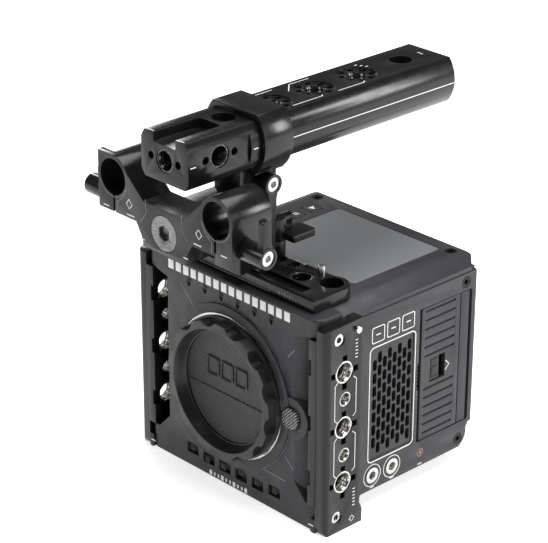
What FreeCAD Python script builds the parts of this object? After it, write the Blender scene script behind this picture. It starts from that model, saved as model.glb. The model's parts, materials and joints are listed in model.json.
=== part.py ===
"""Caged box cinema camera with a double rod bracket and a bar handle.

Origin: centre of the tripod socket, on the plane the feet and base plate stand on.
+Z is up, -Y is the lens side, and X = 0 is the plane of the optical axis.  Millimetres.
"""
import FreeCAD, Part
import math
import os

V = FreeCAD.Vector

# ---- camera body ---------------------------------------------------------------------
body_width = 101.3       # over the side covers
body_depth = 101.3       # front of the lens mount to the battery seats
body_top = 94.2          # top cover above the standing plane
side_floor = 7.0         # underside of the side covers
front_y = -40.0          # front plane of cage and lens mount, seen from the tripod socket
panel_step = 0.8         # front panel behind that plane
front_depth = 14.0       # back of the front panel behind the front plane
cover_wall = 2.5
shell_wall = 3.0
shell_back = 93.4        # rear face of the shell behind the front plane
axis_z = 47.5            # height of the optical axis
throat_r = 27.0          # clear radius of the lens mount
mount_wall = 4.9         # bayonet ring beyond its throat
cap_inset = 1.6          # body cap lobes inside the ring
cap_lobes = 13
band_top = 86.3          # underside of the upper front band
band_bottom = 11.8       # top of the lower front band
corner_cut = 12.65       # panel face ends this far inside the body sides

# ---- openings in the side walls (Y behind the front plane, Z) --------------------------
vent_y, vent_z = (31.2, 55.7), (21.5, 71.6)
door_y, door_z = (60.2, 90.4), (19.5, 80.7)
door_gap = 0.3
fan_side = 40.0
fan_depth = 10.0
key_side = 6.6           # square keys of the top cover
key_gap = 0.3
key_travel = 0.8

# ---- cage ----------------------------------------------------------------------------
rail_thick = 5.55
rail_depth = 20.2
rail_top = 92.2
plate_low = 94.2
plate_thick = 5.6
big_thread_r = 3.97      # minor radius of a 3/8-16 insert
big_insert_r = 4.8
small_thread_r = 2.55    # minor radius of a 1/4-20 insert
small_insert_r = 3.2
rail_big_z = (22.2, 47.0, 71.5)
rail_small_z = (34.3, 59.4)
rail_hole_y = 10.2
dowel_r = 1.5

# ---- rod bracket -----------------------------------------------------------------------
rod_r = 7.5
rod_spacing = 60.0
rod_height = 140.4
rod_wall = 1.8
clamp_drop = 3.3         # clamp screw below the rod bore
bracket_front = -33.3    # ahead of the front plane
bracket_depth = 19.8
split_width = 1.2

# ---- handle ----------------------------------------------------------------------------
bar_r = 15.0
bar_z = 155.95
bar_flat = 9.6           # flats above and below the axis
bar_front = -32.3
bar_length = 147.8
collar_front = 3.9
collar_length = 15.2
collar_wall = 2.4
sliding_gap = 0.1        # bar in its collar
riser_half = 7.57
riser_front = -0.4
turn_gap = 0.05          # pivots in their bores
part_gap = 0.3           # between parts that move past each other

half = body_width / 2
face_half = half - corner_cut
mount_r = throat_r + mount_wall
cap_r = mount_r - cap_inset
flange_r = mount_r - 0.9
shell_half = half - cover_wall
plate_top = plate_low + plate_thick
cover_low = body_top - 6.2
back_y = front_y + body_depth


def at(depth):
    """Y of a place given by its depth behind the front plane."""
    return front_y + depth


def box(x0, x1, y0, y1, z0, z1):
    return Part.makeBox(x1 - x0, y1 - y0, z1 - z0, V(x0, y0, z0))


def cyl_x(x0, x1, y, z, r):
    return Part.makeCylinder(r, x1 - x0, V(x0, y, z), V(1, 0, 0))


def cyl_y(y0, y1, x, z, r):
    return Part.makeCylinder(r, y1 - y0, V(x, y0, z), V(0, 1, 0))


def cyl_z(z0, z1, x, y, r):
    return Part.makeCylinder(r, z1 - z0, V(x, y, z0), V(0, 0, 1))


def slab(points, direction):
    """Closed outline swept along one direction."""
    wire = Part.makePolygon(points + points[:1])
    return Part.Face(wire).extrude(direction)


def slab_x(outline, x0, x1):
    return slab([V(x0, y, z) for y, z in outline], V(x1 - x0, 0, 0))


def slab_y(outline, y0, y1):
    return slab([V(x, y0, z) for x, z in outline], V(0, y1 - y0, 0))


def slab_z(outline, z0, z1):
    return slab([V(x, y, z0) for x, y in outline], V(0, 0, z1 - z0))


def join(first, *others):
    return first.fuse(list(others)).removeSplitter()


def mirror(shape):
    return shape.mirror(V(0, 0, 0), V(1, 0, 0))


def both(shape):
    return [shape, mirror(shape)]


def round_edges(shape, radius, wanted):
    """Fillets the straight edges whose middle point and direction are wanted."""
    edges = []
    for edge in shape.Edges:
        if not isinstance(edge.Curve, Part.Line):
            continue
        start, end = edge.Vertexes[0].Point, edge.Vertexes[-1].Point
        if wanted((start + end) * 0.5, end - start):
            edges.append(edge)
    return shape.makeFillet(radius, edges)


def along(direction, axis):
    """True when an edge runs along X, Y or Z (axis 0, 1, 2)."""
    return abs(direction[axis]) > 0.999 * direction.Length


def round_box(x0, x1, y0, y1, z0, z1, radius, axis):
    """Box with its four edges along one axis rounded."""
    return round_edges(box(x0, x1, y0, y1, z0, z1), radius, lambda p, d: along(d, axis))


def save(name, shapes):
    """Writes one node: a single solid, or a group of separate solids."""
    shapes = shapes if isinstance(shapes, list) else [shapes]
    solids = [solid for shape in shapes for solid in shape.Solids]
    for solid in solids:
        assert solid.isValid(), name
    shape = solids[0] if len(solids) == 1 else Part.makeCompound(solids)
    shape.exportStep("parts/" + name + ".step")


# ---- front of the camera -----------------------------------------------------------------

boss_r = 9.0
foot_half = half - 2.65
button_r = 4.7
boss_x = mount_r + button_r + 0.5
button_travel = 1.5
lock_pin_r = 1.0
claw_depth = 1.6
mount_depth = 6.0
cavity_r = throat_r + 2.0
pin_x = (cavity_r + mount_r) / 2
mount_screw_r = 1.0
mount_screw_angles = (45, 135, 225, 315)
mount_screw_end = 8.0
rail_screw_r = 1.3
rail_screw_places = ((7.2, 86.3), (7.2, 6.9))


def front_panel():
    """Block with full-width bands above and below, corners cut at 45 degrees between them."""
    face, rear = at(panel_step), at(front_depth)
    block = round_edges(
        box(-half, half, face, rear, 0, body_top), 4.4,
        lambda p, d: along(d, 2) and p.y < face + 1,
    )
    block = round_edges(block, 1.0, lambda p, d: along(d, 0) and p.y < face + 1)
    corner = [(face_half, 18.8), (face_half, 84.1), (half - 4.25, band_top), (half + 6, band_top + 1.8),
              (half + 6, band_bottom - 1.6), (half - 5.95, band_bottom)]
    corner = slab_y(corner, face - 1, rear)
    wedge = slab_z([(face_half, face), (face_half, face - 1), (half + 6, face - 1),
                    (half + 6, face + half - face_half + 6)], 0, body_top)
    corner = corner.common(wedge)
    foot_room = box(foot_half - 0.1, half + 1, at(-1), rear, -1, 6.4)
    ring = cyl_y(at(-0.4), rear, 0, axis_z, throat_r + 9)
    boss = cyl_y(at(0), rear, boss_x, axis_z, boss_r).common(box(-half, half, at(0), rear, 0, body_top))
    seat = cyl_y(at(-1), at(mount_depth), 0, axis_z, mount_r)
    throat = cyl_y(at(-1), rear + 1, 0, axis_z, throat_r + 1)
    pin_hole = cyl_y(at(-1), rear + 1, pin_x, axis_z, lock_pin_r + turn_gap)
    button_hole = cyl_y(at(-1), rear + 1, boss_x, axis_z, button_r + part_gap)
    link_room = box(pin_x - 2, boss_x + 3, at(10.5), rear + 1, axis_z - 3, axis_z + 3)
    block = block.cut(both(corner) + both(foot_room)).fuse([ring, boss]).removeSplitter()
    screw_holes = []
    for y, z in rail_screw_places:
        screw_holes += both(cyl_x(half - 7, half + 1, at(y), z, rail_screw_r))
    screw_holes += [cyl_y(at(0), at(mount_screw_end), x, z, mount_screw_r) for x, z in mount_screw_places()]
    recesses = [box(x - 3.5, x + 3.5, at(0), at(panel_step + 2.5), z - 2.4, z + 2.4)
                for x, z in ((-23.4, 8.9), (-13.4, 8.0), (-3.4, 8.0), (6.5, 8.0), (16.4, 8.0), (26.4, 8.9))]
    notches = []
    for i in range(6):
        x = -24.7 + 9.8 * i
        notches.append(slab_y([(x - 1.6, band_top), (x + 1.6, band_top), (x, band_top - 2.6)],
                              at(0), at(panel_step + 0.9)))
    return block.cut([seat, throat, pin_hole, button_hole, link_room] + screw_holes + recesses + notches)


def mount_screw_places():
    for angle in mount_screw_angles:
        a = math.radians(angle)
        yield pin_x * math.cos(a), axis_z + pin_x * math.sin(a)


def lens_mount():
    """Bayonet ring: three claws at the front, a cavity for the turned tabs behind them."""
    ring = cyl_y(at(0), at(mount_depth), 0, axis_z, mount_r)
    front = cyl_y(at(-1), at(claw_depth), 0, axis_z, throat_r)
    cavity = cyl_y(at(claw_depth), at(mount_depth + 1), 0, axis_z, cavity_r)
    ring = ring.cut([front, cavity, cyl_y(at(-1), at(7), pin_x, axis_z, lock_pin_r + turn_gap)])
    ring = ring.cut([cyl_y(at(-1), at(7), x, z, mount_screw_r) for x, z in mount_screw_places()])
    for i in range(3):
        notch = Part.makeCylinder(cavity_r, claw_depth + 1, V(0, at(-1), axis_z), V(0, 1, 0), 58)
        notch.rotate(V(0, 0, axis_z), V(0, 1, 0), 31 + 120 * i)
        ring = ring.cut(notch)
    return ring


def body_cap():
    """Dished cap with a scalloped rim and three bayonet tabs."""
    rim_front, rim_back, floor_y = at(-6.3), at(-0.3), at(-0.5)
    cap = cyl_y(rim_front, rim_back, 0, axis_z, cap_r)
    scallops = []
    for i in range(cap_lobes):
        a = math.radians(4 + (i + 0.5) * 360 / cap_lobes)
        reach = cap_r + 3.2
        scallops.append(cyl_y(at(-7), at(1), reach * math.cos(a), axis_z + reach * math.sin(a), 5.4))
    dish = Part.makeCone(cap_r - 3.5, cap_r - 5.9, floor_y - rim_front, V(0, rim_front, axis_z), V(0, 1, 0))
    cap = cap.cut(scallops + [dish])
    flange = cyl_y(rim_back - 1.2, rim_back, 0, axis_z, flange_r)
    cap = cap.fuse(flange.cut(cyl_y(rim_front, floor_y, 0, axis_z, cap_r - 5.9)))
    skirt = cyl_y(rim_back - 1, at(4.4), 0, axis_z, throat_r - 0.8)
    skirt = skirt.cut(cyl_y(at(1.4), at(5), 0, axis_z, throat_r - 2.6))
    cap = cap.fuse(skirt.cut(cyl_y(rim_front, floor_y, 0, axis_z, cap_r - 5.9)))
    for i in range(3):
        tab = Part.makeCylinder(cavity_r - 0.4, 1.4, V(0, at(claw_depth + 0.3), axis_z), V(0, 1, 0), 48)
        tab.rotate(V(0, 0, axis_z), V(0, 1, 0), 96 + 120 * i)
        cap = cap.fuse(tab.cut(cyl_y(at(0), at(6), 0, axis_z, throat_r - 1.5)))
    return cap.removeSplitter()


def mount_release_button():
    """Knurled round button with a shaft and the arm that carries the lock pin."""
    head = cyl_y(at(-1.4), at(7), boss_x, axis_z, button_r)
    head = head.makeFillet(0.6, [e for e in head.Edges if e.BoundBox.YMax < at(-1.3)])
    grooves = []
    for i in range(24):
        a = math.radians(15 * i)
        grooves.append(cyl_y(at(-2), at(-0.2), boss_x + button_r * math.cos(a),
                             axis_z + button_r * math.sin(a), 0.35))
    shaft = cyl_y(at(7), at(11.5), boss_x, axis_z, 2.0)
    arm = box(pin_x - 1.4, boss_x + 2, at(11), at(12.4), axis_z - 2, axis_z + 2)
    arm = arm.cut(cyl_y(at(10), at(14), pin_x, axis_z, lock_pin_r))
    return join(head.cut(grooves), shaft, arm)


save("front_panel", front_panel())
save("lens_mount", lens_mount())
save("mount_screws", [cyl_y(at(0.1), at(mount_screw_end), x, z, mount_screw_r)
                      .cut(box(x - 0.2, x + 0.2, at(0), at(0.7), z - 0.7, z + 0.7))
                      for x, z in mount_screw_places()])
save("body_cap", body_cap())
save("mount_release_button", mount_release_button())
save("lock_pin", cyl_y(at(0.1), at(12.4), pin_x, axis_z, lock_pin_r))

# ---- shell and what it holds ---------------------------------------------------------------

board_y = 70.0
fan_y, fan_z = 44.0, 46.5
fan_x1 = shell_half - shell_wall
fan_x0 = fan_x1 - fan_depth
jack_places = ((33.0, 14.2), (44.6, 14.1))
jack_r = 2.9
led_place = (61.6, 14.0)
led_r = 0.9
connector_x = -34.5
connectors = (("video_connector", 68.0, 6.4), ("power_connector", 46.0, 5.6),
              ("control_connector", 26.0, 6.0))
bay_centres = (-6.5, 26.5)
bay_width = 31.0
back_plate_y = 96.4


side_screws = ((84.9, 11.9), (86.35, 84.6))
left_keys = (("record_button", 66.0, 60.0, 5.0), ("power_button", 66.0, 30.0, 3.6))
stem_share = 0.4         # stem of a round key beside its cap
cover_screw_r = 1.6


def side_outline():
    """Side cover outline in depth and height, with the stepped and rounded rear foot."""
    top = cover_low + 0.8
    foot_back = shell_back - 3.3
    corner = [(foot_back - 7 * (1 - math.cos(math.radians(a))),
               side_floor + 7 * (1 - math.sin(math.radians(a))))
              for a in (90, 67.5, 45, 22.5, 0)]
    return [(front_depth, top), (front_depth, side_floor)] + corner + [
        (foot_back, side_floor + 10.4), (shell_back, side_floor + 11.3),
        (shell_back, cover_low - 4.5), (shell_back - 0.8, top)]


def body_shell():
    """Open-fronted tray with a rear wall, carrying covers, board and battery plate."""
    outer = box(-shell_half, shell_half, at(front_depth), at(shell_back), side_floor, cover_low)
    inner = box(-shell_half + shell_wall, shell_half - shell_wall, at(front_depth - 1),
                at(shell_back - shell_wall), side_floor + shell_wall, cover_low + 1)
    wall = (shell_half - shell_wall - 1, shell_half + 1)
    fan_hole = cyl_x(*wall, at(fan_y), fan_z, fan_side / 2 - 1.8)
    intake = mirror(box(*wall, at(30), at(60), 24, 70))
    card_hole = box(*wall, at(door_y[0] - 2.4), at(door_y[1] - 0.1), door_z[0], door_z[1])
    jack_holes = [cyl_x(*wall, at(y), z, jack_r) for y, z in jack_places]
    jack_holes.append(cyl_x(*wall, at(led_place[0]), led_place[1], led_r))
    screw_holes = [cyl_x(*wall, at(y), z, cover_screw_r) for y, z in side_screws]
    screw_holes += [mirror(hole) for hole in screw_holes]
    stem_holes = [mirror(cyl_x(*wall, at(y), z, r * stem_share + part_gap)) for _, y, z, r in left_keys]
    rear = [cyl_y(at(shell_back - 4), at(shell_back + 1), connector_x, z, r) for _, z, r in connectors]
    rear += [box(x - 9, x + 9, at(shell_back - 4), at(shell_back + 1), 22, 30) for x in bay_centres]
    trimmed = outer.common(slab_x([(at(y), z) for y, z in side_outline()], -half, half))
    return trimmed.cut([inner, fan_hole, intake, card_hole] + jack_holes + screw_holes + stem_holes + rear)


def base_plate():
    plate = round_edges(box(-face_half, face_half, at(front_depth), at(shell_back - 7.4), 0, side_floor), 5,
                        lambda p, d: along(d, 2))
    plate = round_edges(plate, 0.8, lambda p, d: along(d, 0) and p.z < 1)
    holes = [cyl_z(-1, side_floor + 1, 0, y, r) for y, r in tripod_places]
    pins = [cyl_z(-1, 4, x, 0, 1.6) for x in (-15, 15)]
    return plate.cut(holes + pins)


tripod_places = ((0.0, small_insert_r), (22.0, big_insert_r))


def insert(z0, z1, x, y, outer_r, inner_r):
    return cyl_z(z0, z1, x, y, outer_r).cut(cyl_z(z0 - 1, z1 + 1, x, y, inner_r))


def sensor_block():
    block = box(-27, 27, at(front_depth), at(22), axis_z - 24, axis_z + 24)
    window = box(-15, 15, at(13), at(23), axis_z - 9.5, axis_z + 9.5)
    tunnel = Part.makeCone(throat_r - 3, 16, 5, V(0, at(front_depth), axis_z), V(0, 1, 0))
    return block.cut([window, tunnel])


def heat_sink():
    base = box(-25, 25, at(24), at(27), axis_z - 22, axis_z + 22)
    fins = [box(x, x + 1.4, at(27), at(42), axis_z - 22, axis_z + 22)
            for x in [-25 + 4.86 * i for i in range(11)]]
    return join(base, *fins)


def fan_frame():
    body = box(fan_x0, fan_x1, at(fan_y - fan_side / 2), at(fan_y + fan_side / 2),
               fan_z - fan_side / 2, fan_z + fan_side / 2)
    body = body.cut(cyl_x(fan_x0 - 1, fan_x1 + 1, at(fan_y), fan_z, fan_side / 2 - 1.6))
    hub = cyl_x(fan_x0, fan_x0 + 1.6, at(fan_y), fan_z, 9)
    spindle = cyl_x(fan_x0, fan_x1 - 2, at(fan_y), fan_z, 1.5)
    arms = []
    for i in range(3):
        arm = box(fan_x0, fan_x0 + 1.6, at(fan_y) - 1.2, at(fan_y) + 1.2, fan_z, fan_z + fan_side / 2 - 1)
        arm.rotate(V(fan_x0, at(fan_y), fan_z), V(1, 0, 0), 60 + 120 * i)
        arms.append(arm)
    return join(body, hub, spindle, *arms)


def fan_rotor():
    hub = cyl_x(fan_x0 + 2.2, fan_x1 - 0.6, at(fan_y), fan_z, 8.6)
    hub = hub.cut(cyl_x(fan_x0, fan_x1 - 1.9, at(fan_y), fan_z, 1.5 + turn_gap))
    blades = []
    for i in range(7):
        blade = box(fan_x0 + 2.8, fan_x1 - 1.2, at(fan_y) - 0.6, at(fan_y) + 0.6,
                    fan_z + 8, fan_z + fan_side / 2 - 2.3)
        blade.rotate(V((fan_x0 + fan_x1) / 2, at(fan_y), fan_z), V(0, 0, 1), 34)
        blade = blade.common(box(fan_x0 + 2.4, fan_x1 - 0.8, at(0), at(90), 0, 90))
        blade.rotate(V(fan_x0, at(fan_y), fan_z), V(1, 0, 0), 360 * i / 7)
        blades.append(blade)
    return join(hub, *blades)


def main_board():
    """Circuit board across the shell with chips on its front."""
    board = box(-shell_half + shell_wall, shell_half - shell_wall, at(board_y), at(board_y + 1.6),
                side_floor + shell_wall, cover_low - 3)
    chips = [box(x, x + w, at(board_y - 1.8), at(board_y), z, z + w)
             for x, z, w in ((-34, 20, 12), (-14, 34, 18), (-34, 48, 14), (-12, 62, 10), (8, 56, 16))]
    return join(board, *chips)


save("body_shell", body_shell())
save("base_plate", base_plate())
save("tripod_inserts", [insert(0.2, side_floor, 0, y, r, r_in)
                        for (y, r), r_in in zip(tripod_places, (small_thread_r, big_thread_r))])
save("sensor_block", sensor_block())
save("sensor_glass", box(-15, 15, at(19.4), at(20.4), axis_z - 9.5, axis_z + 9.5))
save("sensor_board", box(-25, 25, at(22), at(24), axis_z - 22, axis_z + 22))
save("heat_sink", heat_sink())
save("fan_frame", fan_frame())
save("fan_rotor", fan_rotor())
save("main_board", main_board())
card_slot = box(24, shell_half - shell_wall, at(board_y + 1.6), at(board_y + 8.6), 30, 70)
save("card_slot", card_slot.cut(box(27, half, at(board_y + 3), at(board_y + 7), 33, 67)))

# ---- top cover, screen and keys -------------------------------------------------------------

screen_x, screen_y = (-24.5, 35.0), (36.1, 87.5)
screen_thick = 1.4
key_x = -32.2
key_places = (("play_button", 78.6), ("mode_button", 68.8))
top_screws = (39.3, 88.7)


def top_cover():
    """Lid with long chamfered edges that overhang the side covers."""
    rim = cover_low + 1.0
    right = [(shell_half, cover_low), (shell_half, rim), (half, rim), (half, body_top - 3.6),
             (half - 4.0, body_top - 1.2), (half - 8.0, body_top)]
    outline = right + [(-x, z) for x, z in reversed(right)]
    lid = slab_y(outline, at(front_depth), at(shell_back + 0.8))
    lid = round_edges(lid, 1.2, lambda p, d: along(d, 0) and p.y > at(shell_back) and p.z > body_top - 1)
    under = box(-shell_half + 6, shell_half - 6, at(front_depth + 5), at(shell_back - 6),
                cover_low - 1, body_top - 2.6)
    pocket = round_box(*screen_x, at(screen_y[0]), at(screen_y[1]), body_top - screen_thick - 0.2,
                       body_top + 1, 2.0, 2)
    keys = [box(key_x - key_side / 2 - key_gap, key_x + key_side / 2 + key_gap,
                at(y) - key_side / 2 - key_gap, at(y) + key_side / 2 + key_gap, cover_low - 1, body_top + 1)
            for _, y in key_places]
    screws = both(cyl_z(cover_low - 1, body_top - 1.0, top_screws[0], at(top_screws[1]), cover_screw_r))
    heads = both(cyl_z(body_top - 1.4, body_top + 1, top_screws[0], at(top_screws[1]), 2.6))
    slant = both(slab_z([(half - 6, at(shell_back + 2)), (half + 1, at(shell_back + 2)),
                         (half + 1, at(shell_back - 5))], cover_low + 1, body_top + 1))
    return lid.cut([under, pocket] + keys + screws + heads + slant)


def key(y):
    cap = round_box(key_x - key_side / 2, key_x + key_side / 2, at(y) - key_side / 2,
                    at(y) + key_side / 2, body_top - 3.2, body_top + 0.1, 1.0, 2)
    return join(cap, cyl_z(body_top - 5.0, body_top - 3.2, key_x, at(y), 1.2))


save("top_cover", top_cover())
save("lcd_glass", round_box(screen_x[0], screen_x[1], at(screen_y[0]), at(screen_y[1]),
                            body_top - screen_thick - 0.2, body_top - 0.2, 2.0, 2))
for name, y in key_places:
    save(name, key(y))

# ---- side covers ----------------------------------------------------------------------------

def side_blank():
    outline = [(at(y), z) for y, z in side_outline()]
    blank = slab_x(outline, shell_half, half)
    blank = blank.makeChamfer(0.6, [e for e in blank.Edges
                                    if e.BoundBox.XMin > half - 0.01 and e.BoundBox.YMax > at(rail_depth + 4)
                                    and e.Length > 8])
    screws = [cyl_x(shell_half - 1, half + 1, at(y), z, cover_screw_r) for y, z in side_screws]
    heads = [cyl_x(half - 1.3, half + 1, at(y), z, 2.6) for y, z in side_screws]
    return blank.cut(screws + heads)


def right_side_cover():
    cuts = [box(shell_half - 1, half + 1, at(vent_y[0]), at(vent_y[1]), *vent_z)]
    cuts.append(round_box(shell_half - 1, half + 1, at(door_y[0]), at(door_y[1]), *door_z, 1.2, 0))
    finger = (door_z[0] + door_z[1]) / 2
    cuts.append(box(shell_half - 1, half + 1, at(door_y[0] - 2.4), at(door_y[0] + 1), finger - 6, finger + 6))
    cuts.append(box(half - 1.4, half + 1, at(door_y[0] - 1.2), at(door_y[0] + 1), *door_z))
    cuts += [cyl_x(shell_half - 1, half + 1, at(y), z, jack_r) for y, z in jack_places]
    cuts.append(cyl_x(shell_half - 1, half + 1, at(led_place[0]), led_place[1], led_r))
    pin = cyl_z(door_z[0] - pin_hold, door_z[1] + pin_hold, hinge_x, at(hinge_y), pin_r)
    return side_blank().cut(cuts + [pin])


def left_side_cover():
    """Mirror of the right cover, with intake slots and two round keys."""
    blank = mirror(side_blank())
    slots = [round_box(-half - 1, -shell_half + 1, at(31 + 4.1 * i), at(33.4 + 4.1 * i), 26, 68, 1.1, 0)
             for i in range(7)]
    keys = [cyl_x(-half - 1, -shell_half + 1, at(y), z, r + part_gap) for _, y, z, r in left_keys]
    return blank.cut(slots + keys)


def exhaust_grille():
    """Plate full of staggered upright slots."""
    plate = box(shell_half, half - 0.3, at(vent_y[0]), at(vent_y[1]), *vent_z)
    columns, rows, slot_half = 8, 8, 1.15
    pitch_y = (vent_y[1] - vent_y[0] - 1.5) / columns
    pitch_z = (vent_z[1] - vent_z[0] - 3.0) / rows
    slots = []
    for i in range(columns):
        y = vent_y[0] + 0.75 + pitch_y * (i + 0.5)
        shift = 0 if i % 2 else pitch_z / 2
        for j in range(rows if i % 2 else rows - 1):
            z = vent_z[0] + 1.5 + pitch_z * (j + 0.5) + shift
            slots.append(round_box(shell_half - 1, half, at(y - slot_half), at(y + slot_half),
                                   z - 2.5, z + 2.5, slot_half - 0.05, 0))
    return plate.cut(slots)


hinge_x, hinge_y = half - 1.6, 88.5
pin_r = 0.7
pin_hold = 1.8           # pin beyond each end of the door opening
knuckle_r = 1.4
latch_y, latch_z = (66.2, 72.0), (45.4, 56.0)
latch_travel = 3.0
latch_room = 0.2


def media_door():
    """Ribbed door on knuckles, with a window for the sliding latch."""
    low, high = door_z[0] + door_gap, door_z[1] - door_gap
    panel = box(half - 2.2, half - 0.2, at(door_y[0] + door_gap), at(hinge_y), low, high)
    panel = round_edges(panel, 1.0, lambda p, d: along(d, 0) and p.y < at(door_y[0] + 1))
    knuckle = cyl_z(low, high, hinge_x, at(hinge_y), knuckle_r)
    pin_hole = cyl_z(0, body_top, hinge_x, at(hinge_y), pin_r + turn_gap)
    window = box(half - 3, half, at(latch_y[0] - latch_room), at(latch_y[1] + latch_travel + latch_room),
                 latch_z[0] - latch_room, latch_z[1] + latch_room)
    middle = (latch_z[0] + latch_z[1]) / 2
    ribs = [round_box(half - 0.8, half, at(door_y[0] + 2.2), at(door_y[0] + 20.4), z - 0.55, z + 0.55, 0.5, 0)
            for z in [middle + sign * (7.6 + 4.1 * i) for sign in (-1, 1) for i in range(6)]]
    groove = box(half - 0.6, half, at(83.4), at(84.0), low - 1, high + 1)
    return join(panel, knuckle).cut([pin_hole, window, groove] + ribs)


def door_latch():
    """Thumb slide with a raised ridge, and its bolt behind the door."""
    thumb = round_box(half - 2.4, half - 0.6, at(latch_y[0]), at(latch_y[1]), *latch_z, 1.0, 0)
    middle = (latch_z[0] + latch_z[1]) / 2
    ridge = box(half - 0.6, half - 0.1, at(latch_y[0] + 1), at(latch_y[1] - 1), middle - 0.9, middle + 0.9)
    bolt = box(half - 3.6, half - 2.4, at(door_y[0] - 1.0), at(latch_y[1]), middle - 3, middle + 3)
    return join(thumb, ridge, bolt)


def jack(y, z):
    """Socket sleeve with a raised ring on the cover."""
    sleeve = cyl_x(shell_half - 8, half, at(y), z, jack_r)
    ring = cyl_x(half, half + 0.3, at(y), z, jack_r + 0.6)
    return join(sleeve, ring).cut(cyl_x(shell_half - 7, half + 1, at(y), z, 1.8))


def screw_x(y, z, x_head, length, head_r, shank_r):
    """Socket head screw whose head faces +X."""
    body = join(cyl_x(x_head - 1.2, x_head, y, z, head_r),
                cyl_x(x_head - length, x_head - 1.2, y, z, shank_r))
    return body.cut(hex_x(x_head - 0.8, x_head + 1, y, z, head_r * 0.5))


def six_corners(u, v, r):
    return [(u + r * math.cos(math.radians(a)), v + r * math.sin(math.radians(a)))
            for a in range(0, 360, 60)]


def hex_x(x0, x1, y, z, r):
    return slab_x(six_corners(y, z, r), x0, x1)


def hex_z(z0, z1, x, y, r):
    return slab_z(six_corners(x, y, r), z0, z1)


def screw_z(x, y, z_head, length, head_r, shank_r):
    """Socket head screw whose head faces up."""
    body = join(cyl_z(z_head - 1.2, z_head, x, y, head_r),
                cyl_z(z_head - length, z_head - 1.2, x, y, shank_r))
    return body.cut(hex_z(z_head - 0.8, z_head + 1, x, y, head_r * 0.5))


def side_key(y, z, r):
    cap = cyl_x(-half - 0.4, -shell_half - 1.2, at(y), z, r)
    return join(cap, cyl_x(-shell_half - 1.2, -shell_half + 1.6, at(y), z, r * stem_share))


save("right_side_cover", right_side_cover())
save("left_side_cover", left_side_cover())
save("exhaust_grille", exhaust_grille())
save("media_door", media_door())
save("door_latch", door_latch())
save("door_hinge_pin", cyl_z(door_z[0] - pin_hold, door_z[1] + pin_hold, hinge_x, at(hinge_y), pin_r))
save("audio_jacks", [jack(y, z) for y, z in jack_places])
save("status_led", cyl_x(shell_half - 1.5, half + 0.1, at(led_place[0]), led_place[1], led_r))
side_heads = [screw_x(at(y), z, half - 0.1, 5.0, 2.5, cover_screw_r) for y, z in side_screws]
top_heads = both(screw_z(top_screws[0], at(top_screws[1]), body_top - 0.2, 5.0, 2.5, cover_screw_r))
save("cover_screws", side_heads + [mirror(s) for s in side_heads] + top_heads)
for name, y, z, r in left_keys:
    save(name, side_key(y, z, r))

# ---- rear: battery plate and connectors --------------------------------------------------------

release_travel = 2.0
release_z = 80.0


def back_plate():
    """Rear plate with two raised battery seats, each with four hook slots."""
    plate_half = shell_half - 2.1
    plate = round_box(-plate_half, plate_half, at(shell_back), at(back_plate_y),
                      side_floor + 3, cover_low, 4.0, 1)
    seats, cuts = [], []
    for x in bay_centres:
        left, right = x - bay_width / 2, x + bay_width / 2
        seat = round_box(left, right, at(back_plate_y), back_y, 14, 84, 1.5, 1)
        seats.append(seat)
        for z in (34, 60):
            for side in (left + 1.6, right - 4.6):
                cuts.append(box(side, side + 3, back_y - 2.6, back_y + 1, z, z + 9))
        cuts.append(box(x - 9, x + 9, at(shell_back - 1), back_y + 1, 22, 30))
        cuts.append(box(x - 6 - part_gap, x + 6 + part_gap, at(shell_back + 1), back_y + 1,
                        release_z - 3 - part_gap - release_travel, release_z + 3 + part_gap))
    cuts += [cyl_y(at(shell_back - 1), back_y + 1, connector_x, z, r) for _, z, r in connectors]
    return join(plate, *seats).cut(cuts)


def battery_release(x):
    tab = round_box(x - 6, x + 6, at(shell_back + 1.6), back_y + 1.2, release_z - 3, release_z + 3, 1.0, 1)
    ribs = [box(x - 4.5, x + 4.5, back_y + 0.7, back_y + 2, release_z + z, release_z + z + 0.7)
            for z in (-2.0, -0.4, 1.2)]
    return tab.cut(ribs)


def contact_block(x):
    block = box(x - 9, x + 9, at(shell_back - 3), back_y - 0.4, 22, 30)
    return block.cut([box(x + s - 0.7, x + s + 0.7, back_y - 3, back_y, 23.5, 28.5) for s in (-6, -2, 2, 6)])


def round_connector(z, r, shell, pins):
    """Barrel with a hollow mouth and its pins."""
    barrel = cyl_y(at(shell_back - 3), at(back_plate_y), connector_x, z, r)
    collar = cyl_y(at(back_plate_y), back_y, connector_x, z, shell)
    barrel = join(barrel, collar).cut(cyl_y(at(shell_back), back_y + 1, connector_x, z, shell - 1.2))
    posts = []
    for i in range(pins):
        a = 2 * math.pi * i / pins
        reach = 0 if pins == 1 else (shell - 1.2) * 0.5
        posts.append(cyl_y(at(shell_back - 1), back_y - 1, connector_x + reach * math.cos(a),
                           z + reach * math.sin(a), 0.5))
    return join(barrel, *posts)


save("back_plate", back_plate())
for side, x in zip(("right", "left"), bay_centres):
    save("battery_release_" + side, battery_release(x))
save("battery_contacts", [contact_block(x) for x in bay_centres])
for (name, z, r), shell, pins in zip(connectors, (4.8, 4.6, 5.2), (1, 2, 6)):
    save(name, round_connector(z, r, shell, pins))

# ---- cage: rails, top plate, threads -------------------------------------------------------------

rail_x = half + rail_thick
rib_half = half - 4.15
dowel_place = (16.9, 88.1)
wide_hole = (36.7, 21.9, 5.0)
top_big = (24.0, 17.7)
top_small_screws = ((6.0, 22.9), (14.0, 22.9))
top_dowel = (28.0, 24.9)
tray_y, tray_depth = (7.1, 12.2), 1.6


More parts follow.
